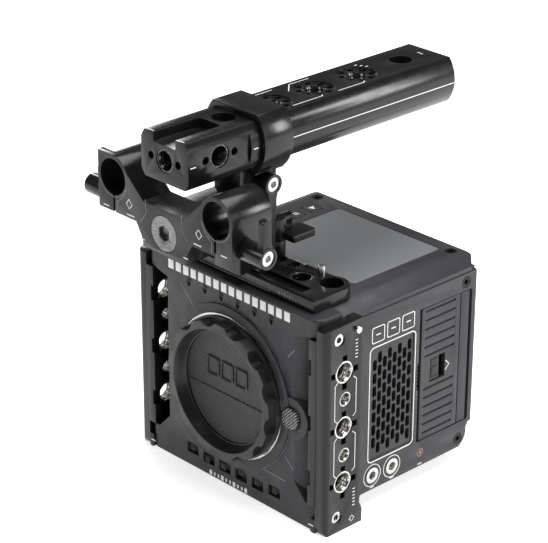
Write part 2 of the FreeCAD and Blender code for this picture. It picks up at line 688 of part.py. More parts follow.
def key_slots(y, z):
    """Four anti-twist slots about a rail thread, from its rim outwards."""
    near, far, wide = big_insert_r - 0.5, big_insert_r + 2.6, 1.3
    slots = []
    for sy, sz in ((1, 0), (-1, 0), (0, 1), (0, -1)):
        y0, y1 = sorted((y + sy * near, y + sy * far)) if sy else (y - wide, y + wide)
        z0, z1 = sorted((z + sz * near, z + sz * far)) if sz else (z - wide, z + wide)
        slots.append(box(rail_x - 2.6, rail_x + 1, y0, y1, z0, z1))
    return slots


def rail():
    """Right cage plate with its inward front rib, foot and threads."""
    outline = [(0.2, 3.0), (1.6, 0.0), (rail_depth + 1.3, 0.0), (rail_depth + 1.3, 6.0),
               (rail_depth - 0.3, 9.5), (rail_depth, 12.0), (rail_depth, rail_top + 0.2),
               (3.3, rail_top - 0.3), (0, rail_top - 1.2)]
    plate = slab_x([(at(y), z) for y, z in outline], half, rail_x)
    plate = round_edges(plate, 2.6, lambda p, d: along(d, 2) and p.x > rail_x - 0.01 and p.y < at(1))
    rib = box(rib_half, half, at(0), at(4), band_bottom + 0.4, band_top - 0.4)
    rib = rib.cut([box(rib_half - 1, rib_half + 1.4, at(-1), at(5), z - 3.4, z + 3.4)
                   for z in (73.8, 49.2, 24.6)] + [cyl_y(at(-1), at(5), boss_x, axis_z, boss_r + part_gap)])
    foot = box(foot_half, half, at(0.2), at(rail_depth + 1.3), 0, 6.2)
    foot = round_edges(foot, 1.0, lambda p, d: along(d, 1) and p.x < half - 1)
    piece = join(plate, rib, foot)
    cuts = []
    for z in rail_big_z:
        cuts.append(cyl_x(half - 9, rail_x + 1, at(rail_hole_y), z, big_insert_r))
        cuts += key_slots(at(rail_hole_y), z)
    for z in rail_small_z:
        cuts.append(cyl_x(half - 9, rail_x + 1, at(rail_hole_y + 0.7), z, small_insert_r))
    for y, z in rail_screw_places:
        cuts.append(cyl_x(foot_half - 1, rail_x + 1, at(y), z, rail_screw_r))
        cuts.append(cyl_x(rail_x - 1.6, rail_x + 1, at(y), z, 2.8))
    cuts.append(cyl_x(half - 1, rail_x + 1, at(dowel_place[0]), dowel_place[1], dowel_r))
    return piece.cut(cuts)


def rail_inserts():
    rings = [insert_x(z, rail_hole_y, big_insert_r, big_thread_r) for z in rail_big_z]
    return rings + [insert_x(z, rail_hole_y + 0.7, small_insert_r, small_thread_r) for z in rail_small_z]


def insert_x(z, y, outer_r, inner_r):
    ring = cyl_x(half + 0.1, rail_x - 0.2, at(y), z, outer_r)
    return ring.cut(cyl_x(half - 1, rail_x + 1, at(y), z, inner_r))


def top_plate():
    """Plate across the camera top, its ends round about the wide holes."""
    x, y, _ = wide_hole
    end_r = 7.4
    right = [(x + end_r, 4.6), (x + end_r, y)]
    right += [(x + end_r * math.cos(math.radians(a)), y + end_r * math.sin(math.radians(a)))
              for a in range(15, 91, 15)]
    right += [(30, y + end_r - 2.0)]
    outline = right + [(-px, py) for px, py in reversed(right)]
    plate = slab_z([(px, at(py)) for px, py in outline], plate_low, plate_top)
    plate = plate.makeChamfer(0.5, [e for e in plate.Edges if e.BoundBox.ZMin > plate_top - 0.01])
    cuts = both(cyl_z(plate_low - 1, plate_top + 1, x, at(y), wide_hole[2]))
    cuts += both(cyl_z(plate_low - 1, plate_top + 1, top_big[0], at(top_big[1]), big_insert_r))
    cuts += both(cyl_z(plate_low + 1.5, plate_top + 1, top_dowel[0], at(top_dowel[1]), dowel_r))
    for sx, sy in top_small_screws:
        cuts += both(cyl_z(plate_low - 1, plate_top + 1, sx, at(sy), 1.3))
        cuts += both(cyl_z(plate_top - 1.8, plate_top + 1, sx, at(sy), 2.7))
    cuts.append(box(-35, 35, at(tray_y[0]), at(tray_y[1]), plate_top - tray_depth, plate_top + 1))
    return plate.cut(cuts)


save("right_rail", rail())
save("left_rail", mirror(rail()))
top_rings = both(insert(plate_low + 0.3, plate_top - 0.3, top_big[0], at(top_big[1]),
                        big_insert_r, big_thread_r))
save("thread_inserts", rail_inserts() + [mirror(s) for s in rail_inserts()] + top_rings)
rail_heads = [screw_x(at(y), z, rail_x - 0.4, 11.0, 2.7, rail_screw_r) for y, z in rail_screw_places]
save("rail_screws", rail_heads + [mirror(s) for s in rail_heads])
pins = both(cyl_x(half + 0.1, rail_x + 1.2, at(dowel_place[0]), dowel_place[1], dowel_r))
pins += both(cyl_z(plate_low + 1.5, plate_top + 3.8, top_dowel[0], at(top_dowel[1]), dowel_r))
save("cage_dowels", pins)
save("cage_top_plate", top_plate())
plate_heads = [screw_z(x, at(y), plate_top - 0.6, plate_thick - 1.0, 2.6, 1.3) for x, y in top_small_screws]
save("top_plate_screws", plate_heads + [mirror(s) for s in plate_heads])

# ---- riser, rod bracket and their levers -----------------------------------------------------------

riser_back = collar_front + collar_length
lug_half = 12.0
ear_low = bar_z - bar_flat - collar_wall - 1.35
lever_hub_r = 4.3
pinch_y, pinch_z = 11.0, ear_low - lever_hub_r - part_gap
lug_low = pinch_z - 7.0
link_low, link_high = rod_height - 22.9, rod_height - 6.4
bracket_back = bracket_front + bracket_depth
bridge_back = bracket_front + 14.3
bracket_low = rod_height - 14.7
bolt_z = bracket_low - 0.1
bolt_r = 4.0
clamp_y = -26.4
clamp_z = rod_height - rod_r - clamp_drop
cheek = rod_spacing / 2 + rod_r + rod_wall - 0.4
lever_screw_r = 1.5


def riser_post():
    """Column on the top plate, with the spigot that carries the rod bracket."""
    front = box(-riser_half, riser_half, at(riser_front), at(collar_front - 0.2), plate_top,
                bar_z - bar_flat - 0.4)
    rear = box(-riser_half, riser_half, at(collar_front - 0.2), at(riser_back), plate_top, lug_low)
    link = box(-riser_half, riser_half, at(bridge_back), at(riser_front), link_low, link_high)
    foot = box(-riser_half - 3, riser_half + 3, at(tray_y[0]), at(tray_y[1]), plate_top - tray_depth,
               plate_top + 2)
    post = join(front, rear, link, foot)
    return post.cut([cyl_y(at(bridge_back - 1), at(12), 0, bolt_z, bolt_r)])


def rod_bracket():
    """Two split rod sleeves joined by a bridge on one bolt."""
    x = rod_spacing / 2
    outer_r = rod_r + rod_wall
    slope_foot = rod_spacing / 2 - 17.9
    right = [(slope_foot + 0.5, bracket_low - 9.1), (slope_foot + 0.5, bracket_low - 6.5),
             (slope_foot + 4.3, bracket_low), (cheek, bracket_low), (cheek, rod_height), (x, rod_height),
             (x - 0.52 * outer_r, rod_height + 0.785 * outer_r), (slope_foot, rod_height - 4.8)]
    outline = right + [(-px, pz) for px, pz in reversed(right)]
    piece = slab_y(outline, at(bracket_front), at(bridge_back))
    sleeves = both(cyl_y(at(bracket_front), at(bracket_back), x, rod_height, outer_r))
    cheeks = both(box(x - rod_r + 1, cheek, at(bracket_front), at(bracket_back), bracket_low, rod_height))
    flange = box(-cheek, -x, at(bracket_front), at(bracket_front + 2.8), rod_height, rod_height + outer_r)
    piece = join(piece, flange, *(sleeves + cheeks))
    piece = round_edges(piece, 0.8, lambda p, d: along(d, 1) and p.z < bracket_low + 1 and abs(p.x) > x)
    cuts = both(cyl_y(at(bracket_front - 1), at(bracket_back + 1), x, rod_height, rod_r))
    cuts += both(box(x - 0.5 - split_width / 2, x - 0.5 + split_width / 2, at(bracket_front - 1),
                     at(bracket_back + 1), bracket_low - 1, rod_height))
    cuts.append(cyl_y(at(bracket_front - 1), at(bridge_back + 1), 0, bolt_z, bolt_r))
    cuts.append(Part.makeCone(7.6, bolt_r, 3.6, V(0, at(bracket_front), bolt_z), V(0, 1, 0)))
    cuts += both(cyl_x(cheek - lever_grip, cheek + 1, at(clamp_y), clamp_z, lever_screw_r + turn_gap))
    return piece.cut(cuts)


def bracket_bolt():
    """Countersunk socket bolt through the bridge into the riser."""
    head = Part.makeCone(7.4, bolt_r - 0.1, 3.6, V(0, at(bracket_front), bolt_z), V(0, 1, 0))
    shank = cyl_y(at(bracket_front + 3.6), at(11.5), 0, bolt_z, bolt_r - 0.1)
    outline = [(3.4 * math.cos(math.radians(a)), bolt_z + 3.4 * math.sin(math.radians(a)))
               for a in range(30, 390, 60)]
    return join(head, shank).cut(slab_y(outline, at(bracket_front - 1), at(bracket_front + 2.6)))


def kip_lever(x0, x1, y, z, turn):
    """Hub along X with a slim arm turned from upright; returns the lever and its screw."""
    hub = cyl_x(x0, x1, y, z, lever_hub_r)
    arm_x0, arm_x1 = x1 - 3.6, x1 - 0.5
    arm_half = 1.9
    tip = z + lever_reach - arm_half
    outline = [(y - 3.2, z + 1), (y + 3.2, z + 1), (y + arm_half, z + 6.5), (y + arm_half, tip),
               (y - arm_half, tip), (y - arm_half, z + 6.5)]
    arm = join(slab_x(outline, arm_x0, arm_x1), cyl_x(arm_x0, arm_x1, y, tip, arm_half))
    arm.rotate(V(x0, y, z), V(1, 0, 0), turn)
    cap_r_in = lever_hub_r - 1.2
    lever = join(hub, arm).cut([cyl_x(x0 - 1, x1 + 1, y, z, lever_screw_r),
                                cyl_x(x1 - 2.6, x1 + 1, y, z, cap_r_in)])
    screw = join(cyl_x(x1 - 2.6, x1 - 0.3, y, z, cap_r_in),
                 cyl_x(x0 - lever_grip, x1 - 2.6, y, z, lever_screw_r))
    screw = screw.cut(hex_x(x1 - 1.8, x1, y, z, 1.5))
    return lever, screw


lever_grip = 10.0        # screw inside the clamped part
lever_reach = 15.5
right_lever_x = (cheek + part_gap, cheek + 12.6)
collar_lever_x = (riser_half + part_gap, riser_half + 7.4)


def save_lever(name, span, y, z, turn, mirrored=False):
    for node, shape in zip((name + "_lever", name + "_screw"), kip_lever(*span, y, z, turn)):
        save(node, mirror(shape) if mirrored else shape)


save("riser_post", riser_post())
save("rod_bracket", rod_bracket())
save("bracket_bolt", bracket_bolt())
save_lever("right_rod", right_lever_x, at(clamp_y), clamp_z, 0)
save_lever("left_rod", right_lever_x, at(clamp_y), clamp_z, -100, mirrored=True)
save_lever("collar", collar_lever_x, at(pinch_y), pinch_z, 180)

# ---- quick-release lever behind the riser ------------------------------------------------------------

post_x, post_y, post_r = 1.5, 25.0, 4.0
post_step = plate_top + 7.0


def post_hub():
    """Fixed post with a spindle for the lever."""
    return join(cyl_z(plate_top, post_step, post_x, at(post_y), post_r),
                cyl_z(post_step, post_step + 8.4, post_x, at(post_y), 1.8))


def post_lever():
    """Cap that turns on the post, with a flat thumb paddle and a grip roll on top."""
    cap = cyl_z(post_step + 0.2, post_step + 9.4, post_x, at(post_y), post_r)
    paddle = round_box(post_x, post_x + 9.4, at(post_y + 1), at(post_y + 13.4),
                       post_step + 0.4, post_step + 3.4, 1.0, 2)
    roll = cyl_y(at(post_y - 0.6), at(post_y + 8), post_x - 0.6, post_step + 7.4, 2.2)
    web = box(post_x - 2.2, post_x + 1.0, at(post_y), at(post_y + 8), post_step + 2.4, post_step + 7.4)
    socket = cyl_z(post_step - 1, post_step + 8.5, post_x, at(post_y), 1.8 + turn_gap)
    return join(cap, paddle, roll, web).cut(socket)


save("post_hub", post_hub())
save("post_lever", post_lever())

# ---- handle --------------------------------------------------------------------------------------------

side_thread = (-16.2, 157.0)
front_thread_z = 155.4
rosettes = (23.2, 47.0, 71.1)
plain_holes = (97.3, -1.8)
pocket_half, pocket_back, pocket_floor = 6.3, -8.9, 161.7
bar_inner_r = 6.0
side_flat = 1.4          # flats at the front of the handle's sides


def bar_profile(extra):
    """Round bar with a flat above and a flat below, enlarged all round by extra."""
    start, depth = at(bar_front) - 1, bar_length + 2
    section = cyl_y(start, start + depth, 0, bar_z, bar_r + extra)
    flats = box(-bar_r - 5, bar_r + 5, start - 1, start + depth + 1,
                bar_z - bar_flat - extra, bar_z + bar_flat + extra)
    return section.common(flats)


def handle_collar():
    """Split clamp ring about the bar, its lug standing on the riser."""
    y0, y1 = at(collar_front), at(riser_back)
    ring = bar_profile(collar_wall + sliding_gap).common(box(-30, 30, y0, y1, 100, 200))
    ears = box(-lug_half, lug_half, y0, y1, ear_low, bar_z - bar_flat + 1)
    lug = box(-riser_half, riser_half, y0, y1, lug_low, ear_low + 1)
    ring = join(ring, ears, lug)
    ring = round_edges(ring, 0.8, lambda p, d: along(d, 1) and abs(p.x) > lug_half - 0.1
                       and p.z < ear_low + 0.5)
    ring = ring.cut([bar_profile(sliding_gap), box(-0.7, 0.7, y0 - 1, y1 + 1, lug_low + 2.5, bar_z)])
    return ring.cut(cyl_x(collar_lever_x[0] - lever_grip - 1, riser_half + 1, at(pinch_y), pinch_z,
                          lever_screw_r + turn_gap))


def rosette(y):
    """Threaded socket in the top flat with eight indexing notches about it."""
    top = bar_z + bar_flat
    cuts = [cyl_z(top - 0.6, top + 1, 0, at(y), 8.4)]
    cuts.append(cyl_z(bar_z - bar_flat - 1, top + 1, 0, at(y), big_insert_r))
    for i in range(8):
        a = math.radians(22.5 + 45 * i)
        cuts.append(cyl_z(top - 2.4, top + 1, 6.7 * math.cos(a), at(y) + 6.7 * math.sin(a), 1.4))
    return cuts


def handle_bar():
    """Bar handle: hollow rear half, threads on top, sides and front, open pocket at the front."""
    bar = bar_profile(0).common(box(-30, 30, at(bar_front), at(bar_front) + bar_length, 100, 200))
    bar = bar.makeChamfer(0.8, [e for e in bar.Edges if e.BoundBox.YMin > at(bar_front) + bar_length - 0.01])
    top = bar_z + bar_flat
    pocket = round_box(-pocket_half, pocket_half, at(bar_front) - 4, at(pocket_back),
                       pocket_floor, top + 1, 1.0, 2)
    cuts = [pocket]
    for y in rosettes:
        cuts += rosette(y)
    for y in plain_holes:
        cuts.append(cyl_z(bar_z - bar_flat - 1, top + 1, 0, at(y), big_insert_r))
    cuts.append(cyl_y(at(bar_front) - 1, at(bar_front + 9), 0, front_thread_z, big_insert_r))
    cuts += [cyl_y(at(bar_front) - 1, at(bar_front + 3), x, front_thread_z + 0.4, 1.6) for x in (-7.8, 7.8)]
    y, z = side_thread
    cuts += both(cyl_x(7.6, bar_r + 1, at(y), z, big_insert_r))
    for dy in (-7.3, 7.5):
        cuts += both(cyl_x(bar_r - 4.0, bar_r + 1, at(y + dy), z, 1.6))
    cuts += both(box(bar_r - side_flat, bar_r + 1, at(bar_front - 1), at(-1.0), bar_z - 7, bar_z + 7))
    rear = at(bar_front) + bar_length
    cuts.append(cyl_y(rear - 12, rear + 1, 0, bar_z - 2, bar_inner_r))
    return bar.cut(cuts)


def handle_inserts():
    """Steel thread rings of the handle: three on top, one in each side and one in front."""
    top = bar_z + bar_flat
    rings = [insert(top - 7.8, top - 0.7, 0, at(y), big_insert_r, big_thread_r) for y in rosettes]
    y, z = side_thread
    side = cyl_x(7.8, bar_r - side_flat - 0.4, at(y), z, big_insert_r)
    side = side.cut(cyl_x(0, bar_r + 1, at(y), z, big_thread_r))
    front = cyl_y(at(bar_front + 0.3), at(bar_front + 8.8), 0, front_thread_z, big_insert_r)
    return rings + both(side) + [front.cut(cyl_y(at(bar_front - 1), at(bar_front + 9), 0,
                                                 front_thread_z, big_thread_r))]


save("handle_collar", handle_collar())
save("handle_bar", handle_bar())
save("handle_inserts", handle_inserts())
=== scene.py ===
"""Caged box cinema camera with rod bracket and bar handle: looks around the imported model."""
import json
import math

import bpy
from mathutils import Matrix, Vector

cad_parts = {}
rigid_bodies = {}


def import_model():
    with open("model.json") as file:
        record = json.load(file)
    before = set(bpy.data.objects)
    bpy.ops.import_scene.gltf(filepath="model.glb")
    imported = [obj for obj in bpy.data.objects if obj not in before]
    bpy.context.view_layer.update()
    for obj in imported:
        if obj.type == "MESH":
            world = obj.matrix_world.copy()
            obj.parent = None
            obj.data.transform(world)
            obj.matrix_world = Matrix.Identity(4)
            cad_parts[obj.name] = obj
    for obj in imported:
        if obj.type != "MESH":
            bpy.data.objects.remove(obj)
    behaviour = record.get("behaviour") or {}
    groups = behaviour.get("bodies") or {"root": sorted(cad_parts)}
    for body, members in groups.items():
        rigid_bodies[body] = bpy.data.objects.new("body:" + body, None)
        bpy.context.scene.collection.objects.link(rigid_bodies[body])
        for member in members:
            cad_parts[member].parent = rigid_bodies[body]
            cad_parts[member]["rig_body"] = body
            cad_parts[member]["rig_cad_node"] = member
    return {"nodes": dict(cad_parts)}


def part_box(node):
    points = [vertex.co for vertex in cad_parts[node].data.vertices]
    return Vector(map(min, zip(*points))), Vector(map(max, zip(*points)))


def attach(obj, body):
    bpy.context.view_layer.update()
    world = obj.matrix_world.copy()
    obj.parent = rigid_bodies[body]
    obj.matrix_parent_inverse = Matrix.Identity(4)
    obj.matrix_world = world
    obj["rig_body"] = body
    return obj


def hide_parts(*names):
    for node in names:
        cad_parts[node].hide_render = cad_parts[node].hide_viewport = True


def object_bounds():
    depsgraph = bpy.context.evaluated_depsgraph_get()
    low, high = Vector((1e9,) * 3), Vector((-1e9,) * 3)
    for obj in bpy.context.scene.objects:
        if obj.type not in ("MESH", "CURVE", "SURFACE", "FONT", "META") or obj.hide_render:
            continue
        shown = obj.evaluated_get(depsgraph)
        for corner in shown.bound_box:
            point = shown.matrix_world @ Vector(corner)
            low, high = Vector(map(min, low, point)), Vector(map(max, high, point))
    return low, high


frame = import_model()
cad_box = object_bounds()

# ---- Base plate ----------------------------------------------------------------------------------
# Milled aluminium plate under the camera, blasted and painted dark grey like the housing. It
# carries two steel thread bushes for the tripod.

bpy.ops.object.select_all(action="DESELECT")
mm = 0.001                              # a millimetre in the frame's metres
CAGE = "camera_and_cage"                # the body that stands still
sharp = math.radians(38)                # edges that turn more than this are broken
soft = math.radians(32)                 # edges that turn less than this are shaded smooth


def select_only(obj):
    bpy.ops.object.select_all(action="DESELECT")
    obj.select_set(True)
    bpy.context.view_layer.objects.active = obj


def new_finish(name, colour, roughness, metallic=0.0):
    """A material with its shader and the object's own coordinates, ready for its pattern."""
    material = bpy.data.materials.new(name)
    material.use_nodes = True
    nodes, links = material.node_tree.nodes, material.node_tree.links
    shader = nodes["Principled BSDF"]
    shader.inputs["Base Color"].default_value = (*colour, 1)
    shader.inputs["Roughness"].default_value = roughness
    shader.inputs["Metallic"].default_value = metallic
    place = nodes.new("ShaderNodeTexCoord")
    return material, nodes, links, shader, place.outputs["Object"]


def noise(nodes, links, place, scale, detail=3.0, stretch=(1, 1, 1)):
    mapping = nodes.new("ShaderNodeMapping")
    mapping.inputs["Scale"].default_value = stretch
    texture = nodes.new("ShaderNodeTexNoise")
    texture.inputs["Scale"].default_value = scale
    texture.inputs["Detail"].default_value = detail
    links.new(place, mapping.inputs["Vector"])
    links.new(mapping.outputs["Vector"], texture.inputs["Vector"])
    return texture.outputs["Fac"]


def spread(nodes, links, value, low, high):
    """Maps the middle of a pattern to a range of numbers."""
    scale = nodes.new("ShaderNodeMapRange")
    scale.inputs["From Min"].default_value = 0.3
    scale.inputs["From Max"].default_value = 0.7
    scale.inputs["To Min"].default_value = low
    scale.inputs["To Max"].default_value = high
    links.new(value, scale.inputs["Value"])
    return scale.outputs["Result"]


def tint(nodes, links, value, dark, light):
    """Colour that wanders between two close tones."""
    ramp = nodes.new("ShaderNodeValToRGB")
    ramp.color_ramp.elements[0].position = 0.35
    ramp.color_ramp.elements[0].color = (*dark, 1)
    ramp.color_ramp.elements[1].position = 0.65
    ramp.color_ramp.elements[1].color = (*light, 1)
    links.new(value, ramp.inputs["Fac"])
    return ramp.outputs["Color"]


def bump(nodes, links, shader, height, depth):
    relief = nodes.new("ShaderNodeBump")
    relief.inputs["Distance"].default_value = depth
    links.new(height, relief.inputs["Height"])
    links.new(relief.outputs["Normal"], shader.inputs["Normal"])


def grained(name, dark, light, rough, metallic, grain, depth, coat=0.0, gloss=0.4):
    """Blasted or moulded surface: fine grain, slow change of tone, handling marks in the gloss."""
    material, nodes, links, shader, place = new_finish(name, light, rough[0], metallic)
    slow = noise(nodes, links, place, 45.0, 4.0)
    links.new(tint(nodes, links, slow, dark, light), shader.inputs["Base Color"])
    worn = noise(nodes, links, place, 160.0, 6.0)
    links.new(spread(nodes, links, worn, *rough), shader.inputs["Roughness"])
    bump(nodes, links, shader, noise(nodes, links, place, grain, 2.0), depth)
    shader.inputs["Coat Weight"].default_value = coat
    shader.inputs["Coat Roughness"].default_value = 0.12
    shader.inputs["Specular IOR Level"].default_value = gloss
    return material


def wear(obj, material):
    """Gives one finish to a whole piece."""
    mesh = obj.data
    mesh.materials.clear()
    mesh.materials.append(material)
    for polygon in mesh.polygons:
        polygon.material_index = 0


def finished_copy(node, piece, body, material, edge=0.25, steps=2):
    """Piece that stands for a CAD node, with its loose triangles merged and its edges broken."""
    obj = frame["nodes"][node].copy()
    obj.data = obj.data.copy()
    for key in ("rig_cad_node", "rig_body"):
        if key in obj:
            del obj[key]
    obj.parent = None
    obj.name = piece
    obj.data.name = piece
    bpy.context.scene.collection.objects.link(obj)
    select_only(obj)
    bpy.ops.object.mode_set(mode="EDIT")
    bpy.ops.mesh.select_all(action="SELECT")
    bpy.ops.mesh.remove_doubles(threshold=2e-6)
    bpy.ops.mesh.dissolve_limited(angle_limit=math.radians(0.4))
    bpy.ops.object.mode_set(mode="OBJECT")
    broken = obj.modifiers.new("broken_edges", "BEVEL")
    broken.width = edge * mm
    broken.segments = steps
    broken.limit_method = "ANGLE"
    broken.angle_limit = sharp
    broken.use_clamp_overlap = True
    bpy.ops.object.modifier_apply(modifier="broken_edges")
    bpy.ops.object.shade_smooth_by_angle(angle=soft)
    wear(obj, material)
    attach(obj, body)
    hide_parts(node)
    return obj


def settle(piece, name, body, material):
    """Finishes a modelled piece: place into its mesh, soft shading, finish and body."""
    select_only(piece)
    piece.name = name
    piece.data.name = name
    bpy.ops.object.transform_apply(location=True, rotation=True, scale=True)
    bpy.ops.object.shade_smooth_by_angle(angle=soft)
    wear(piece, material)
    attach(piece, body)


def thread_ring(radius, length):
    """Screw thread inside a bush: a ring of triangular ridges along Z, from Z = 0 down."""
    pitch, root, crest = 1.5, radius + 0.02, radius - 0.35
    bpy.ops.mesh.primitive_circle_add(vertices=40, radius=root * mm, location=(0, 0, 0))
    ring = bpy.context.active_object
    bpy.ops.object.mode_set(mode="EDIT")
    bpy.ops.mesh.select_all(action="SELECT")
    ratio = crest / root
    for step in range(int(length / pitch) * 2):
        bpy.ops.mesh.extrude_region_move(TRANSFORM_OT_translate={"value": (0, 0, -pitch / 2 * mm)})
        change = ratio if step % 2 == 0 else 1 / ratio
        bpy.ops.transform.resize(value=(change, change, 1), center_override=(0, 0, 0))
    bpy.ops.mesh.select_all(action="SELECT")
    bpy.ops.mesh.normals_make_consistent(inside=True)
    bpy.ops.object.mode_set(mode="OBJECT")
    return ring


def put_threads(name, ring, places, body, material):
    """Copies one thread to each place, turned so that its mouth looks along the given axis."""
    for number, (place, axis) in enumerate(places):
        copy = ring.copy()
        copy.data = ring.data.copy()
        bpy.context.scene.collection.objects.link(copy)
        copy.rotation_euler = Vector(axis).to_track_quat("Z", "Y").to_euler()
        copy.location = [v * mm for v in place]
        settle(copy, f"{name}_{number + 1}", body, material)
    bpy.data.objects.remove(ring)


large_bore, small_bore = 3.97, 2.55     # radii of the 3/8 inch and the 1/4 inch threads
body_paint = grained("blasted_grey_paint", (0.019, 0.020, 0.023), (0.026, 0.027, 0.031),
                     (0.42, 0.56), 0.0, 2600.0, 0.00005)


def turned(name, dark, light, rough, lines, scratch):
    """Turned or brushed metal: fine lines from the tool, uneven gloss and faint scratches."""
    material, nodes, links, shader, place = new_finish(name, light, rough[0], 1.0)
    grooves = noise(nodes, links, place, lines, 2.0, scratch)
    links.new(tint(nodes, links, grooves, dark, light), shader.inputs["Base Color"])
    smears = noise(nodes, links, place, 220.0, 5.0)
    links.new(spread(nodes, links, smears, *rough), shader.inputs["Roughness"])
    bump(nodes, links, shader, grooves, 0.00002)
    return material


steel = turned("turned_steel", (0.40, 0.40, 0.39), (0.66, 0.65, 0.63), (0.16, 0.32), 900.0, (1, 1, 6))
thread_steel = turned("cut_thread_steel", (0.30, 0.29, 0.27), (0.72, 0.70, 0.66), (0.12, 0.26),
                      1400.0, (1, 1, 1))
finished_copy("base_plate", "base_plate_milled", CAGE, body_paint, 0.4)
finished_copy("tripod_inserts", "tripod_bushes", CAGE, steel, 0.15)
for name, bore, y in (("tripod_thread_small", small_bore, 0), ("tripod_thread_large", large_bore, 22)):
    put_threads(name, thread_ring(bore, 6.0), [((0, y, 0.4), (0, 0, -1))], CAGE, thread_steel)

# ---- Die-cast front ------------------------------------------------------------------------------
# The front of the cube is one aluminium casting, blasted and painted. Bands above and below stand
# proud of its cut-away corners; plain white film blocks and setting-up marks are printed on it.

cage_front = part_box("right_rail")[0].y / mm
axis_z = 47.5                           # height of the optical axis
face = 0.8                              # face of the casting behind the front plane
raised = 0.02                           # how far the middle of a mark, print or painted light, stands out
ink = 0.12                              # thickness of a mark, print or painted highlight


def at(depth):
    """Y of a place given by its depth behind the front plane of the cage, in millimetres."""
    return cage_front + depth


def mark_paint(name, colour, rough=(0.5, 0.65)):
    dark = tuple(0.88 * c for c in colour)
    return grained(name, dark, colour, rough, 0.0, 1500.0, 0.00002)


def strip(x, y, z, size):
    """One raised bar, used for print and for painted highlights: a block at its place with its corners
    broken.
    """
    bpy.ops.mesh.primitive_cube_add(size=1, location=(0, 0, 0))
    bar = bpy.context.active_object
    bpy.ops.object.mode_set(mode="EDIT")
    bpy.ops.mesh.select_all(action="SELECT")
    bpy.ops.transform.resize(value=[s * mm for s in size])
    bpy.ops.mesh.bevel(offset=0.3 * min(size) * mm, segments=2, offset_type="OFFSET", clamp_overlap=True)
    bpy.ops.transform.translate(value=(x * mm, y * mm, z * mm))
    bpy.ops.object.mode_set(mode="OBJECT")
    return bar


def plug(x, y, z, sides, radius, depth, axis="Y", turn=0.0):
    """Flat badge, stopper or disc of painted shade with a broken rim, lying across the given axis."""
    bpy.ops.mesh.primitive_cylinder_add(vertices=sides, radius=radius * mm, depth=depth * mm,
                                        location=(0, 0, 0))
    disc = bpy.context.active_object
    bpy.ops.object.mode_set(mode="EDIT")
    bpy.ops.mesh.select_all(action="SELECT")
    bpy.ops.mesh.bevel(offset=0.25 * depth * mm, segments=2, offset_type="OFFSET", clamp_overlap=True)
    bpy.ops.object.mode_set(mode="OBJECT")
    disc.rotation_euler = {"X": (0, math.pi / 2, 0), "Y": (-math.pi / 2, 0, 0), "Z": (0, 0, 0)}[axis]
    disc.rotation_euler.rotate_axis("Z", math.radians(turn))
    disc.location = (x * mm, y * mm, z * mm)
    return disc


def trace(points, width, flat, height=0.3):
    """Line through points in millimetres, for print and for painted highlights and shade: a vertex drawn
    out, rounded and pressed flat.
    """
    places = [Vector(p) * mm for p in points]
    bpy.ops.mesh.primitive_plane_add(size=mm, location=places[0])
    line = bpy.context.active_object
    bpy.ops.object.mode_set(mode="EDIT")
    bpy.ops.mesh.select_all(action="SELECT")
    bpy.ops.mesh.merge(type="CENTER")
    for last, place in zip(places, places[1:]):
        bpy.ops.mesh.extrude_vertices_move(TRANSFORM_OT_translate={"value": place - last})
    if (places[0] - places[-1]).length < 0.02 * mm:
        bpy.ops.mesh.select_all(action="SELECT")
        bpy.ops.mesh.remove_doubles(threshold=0.02 * mm)
    bpy.ops.object.mode_set(mode="OBJECT")
    bpy.ops.object.convert(target="CURVE")
    line = bpy.context.active_object
    line.data.bevel_depth = width / 2 * mm
    line.data.bevel_resolution = 1
    line.data.use_fill_caps = True
    bpy.ops.object.convert(target="MESH")
    line = bpy.context.active_object
    bpy.ops.object.mode_set(mode="EDIT")
    bpy.ops.mesh.select_all(action="SELECT")
    bpy.ops.mesh.normals_make_consistent(inside=False)
    squash = [1, 1, 1]
    squash["XYZ".index(flat)] = height
    bpy.ops.transform.resize(value=squash, center_override=places[0])
    bpy.ops.object.mode_set(mode="OBJECT")
    return line


def arc(u, v, radius, start, end, count=None):
    """Points on an arc, as pairs, from one angle to the other in degrees."""
    count = count or max(2, int(abs(end - start) / 12))
    angles = [math.radians(start + (end - start) * i / count) for i in range(count + 1)]
    return [(u + radius * math.cos(a), v + radius * math.sin(a)) for a in angles]


def on_front(pairs, depth):
    """Points on a level front face, from pairs of x and z."""
    return [(x, at(depth), z) for x, z in pairs]


def join_as(name, parts, body, material):
    """Joins the parts of one print, fitting or patch of painted light into a single piece."""
    for part in parts:
        select_only(part)
        bpy.ops.object.transform_apply(location=True, rotation=True, scale=True)
    bpy.ops.object.select_all(action="DESELECT")
    for part in parts:
        part.select_set(True)
    bpy.context.view_layer.objects.active = parts[0]
    if len(parts) > 1:
        bpy.ops.object.join()
    settle(bpy.context.active_object, name, body, material)


# White paint for print, and for a few painted highlights on the bar handle.
white_print_and_highlight = mark_paint("white_print_and_highlight", (0.80, 0.80, 0.78))
# Grey paint for print and for painted highlights on edges.
grey_print_and_highlight = mark_paint("grey_engraving_and_highlight", (0.20, 0.20, 0.21))
# Near-black paint for painted shade in holes, sockets and gaps.
shadow_paint = mark_paint("painted_groove_shade", (0.006, 0.006, 0.006), (0.6, 0.8))

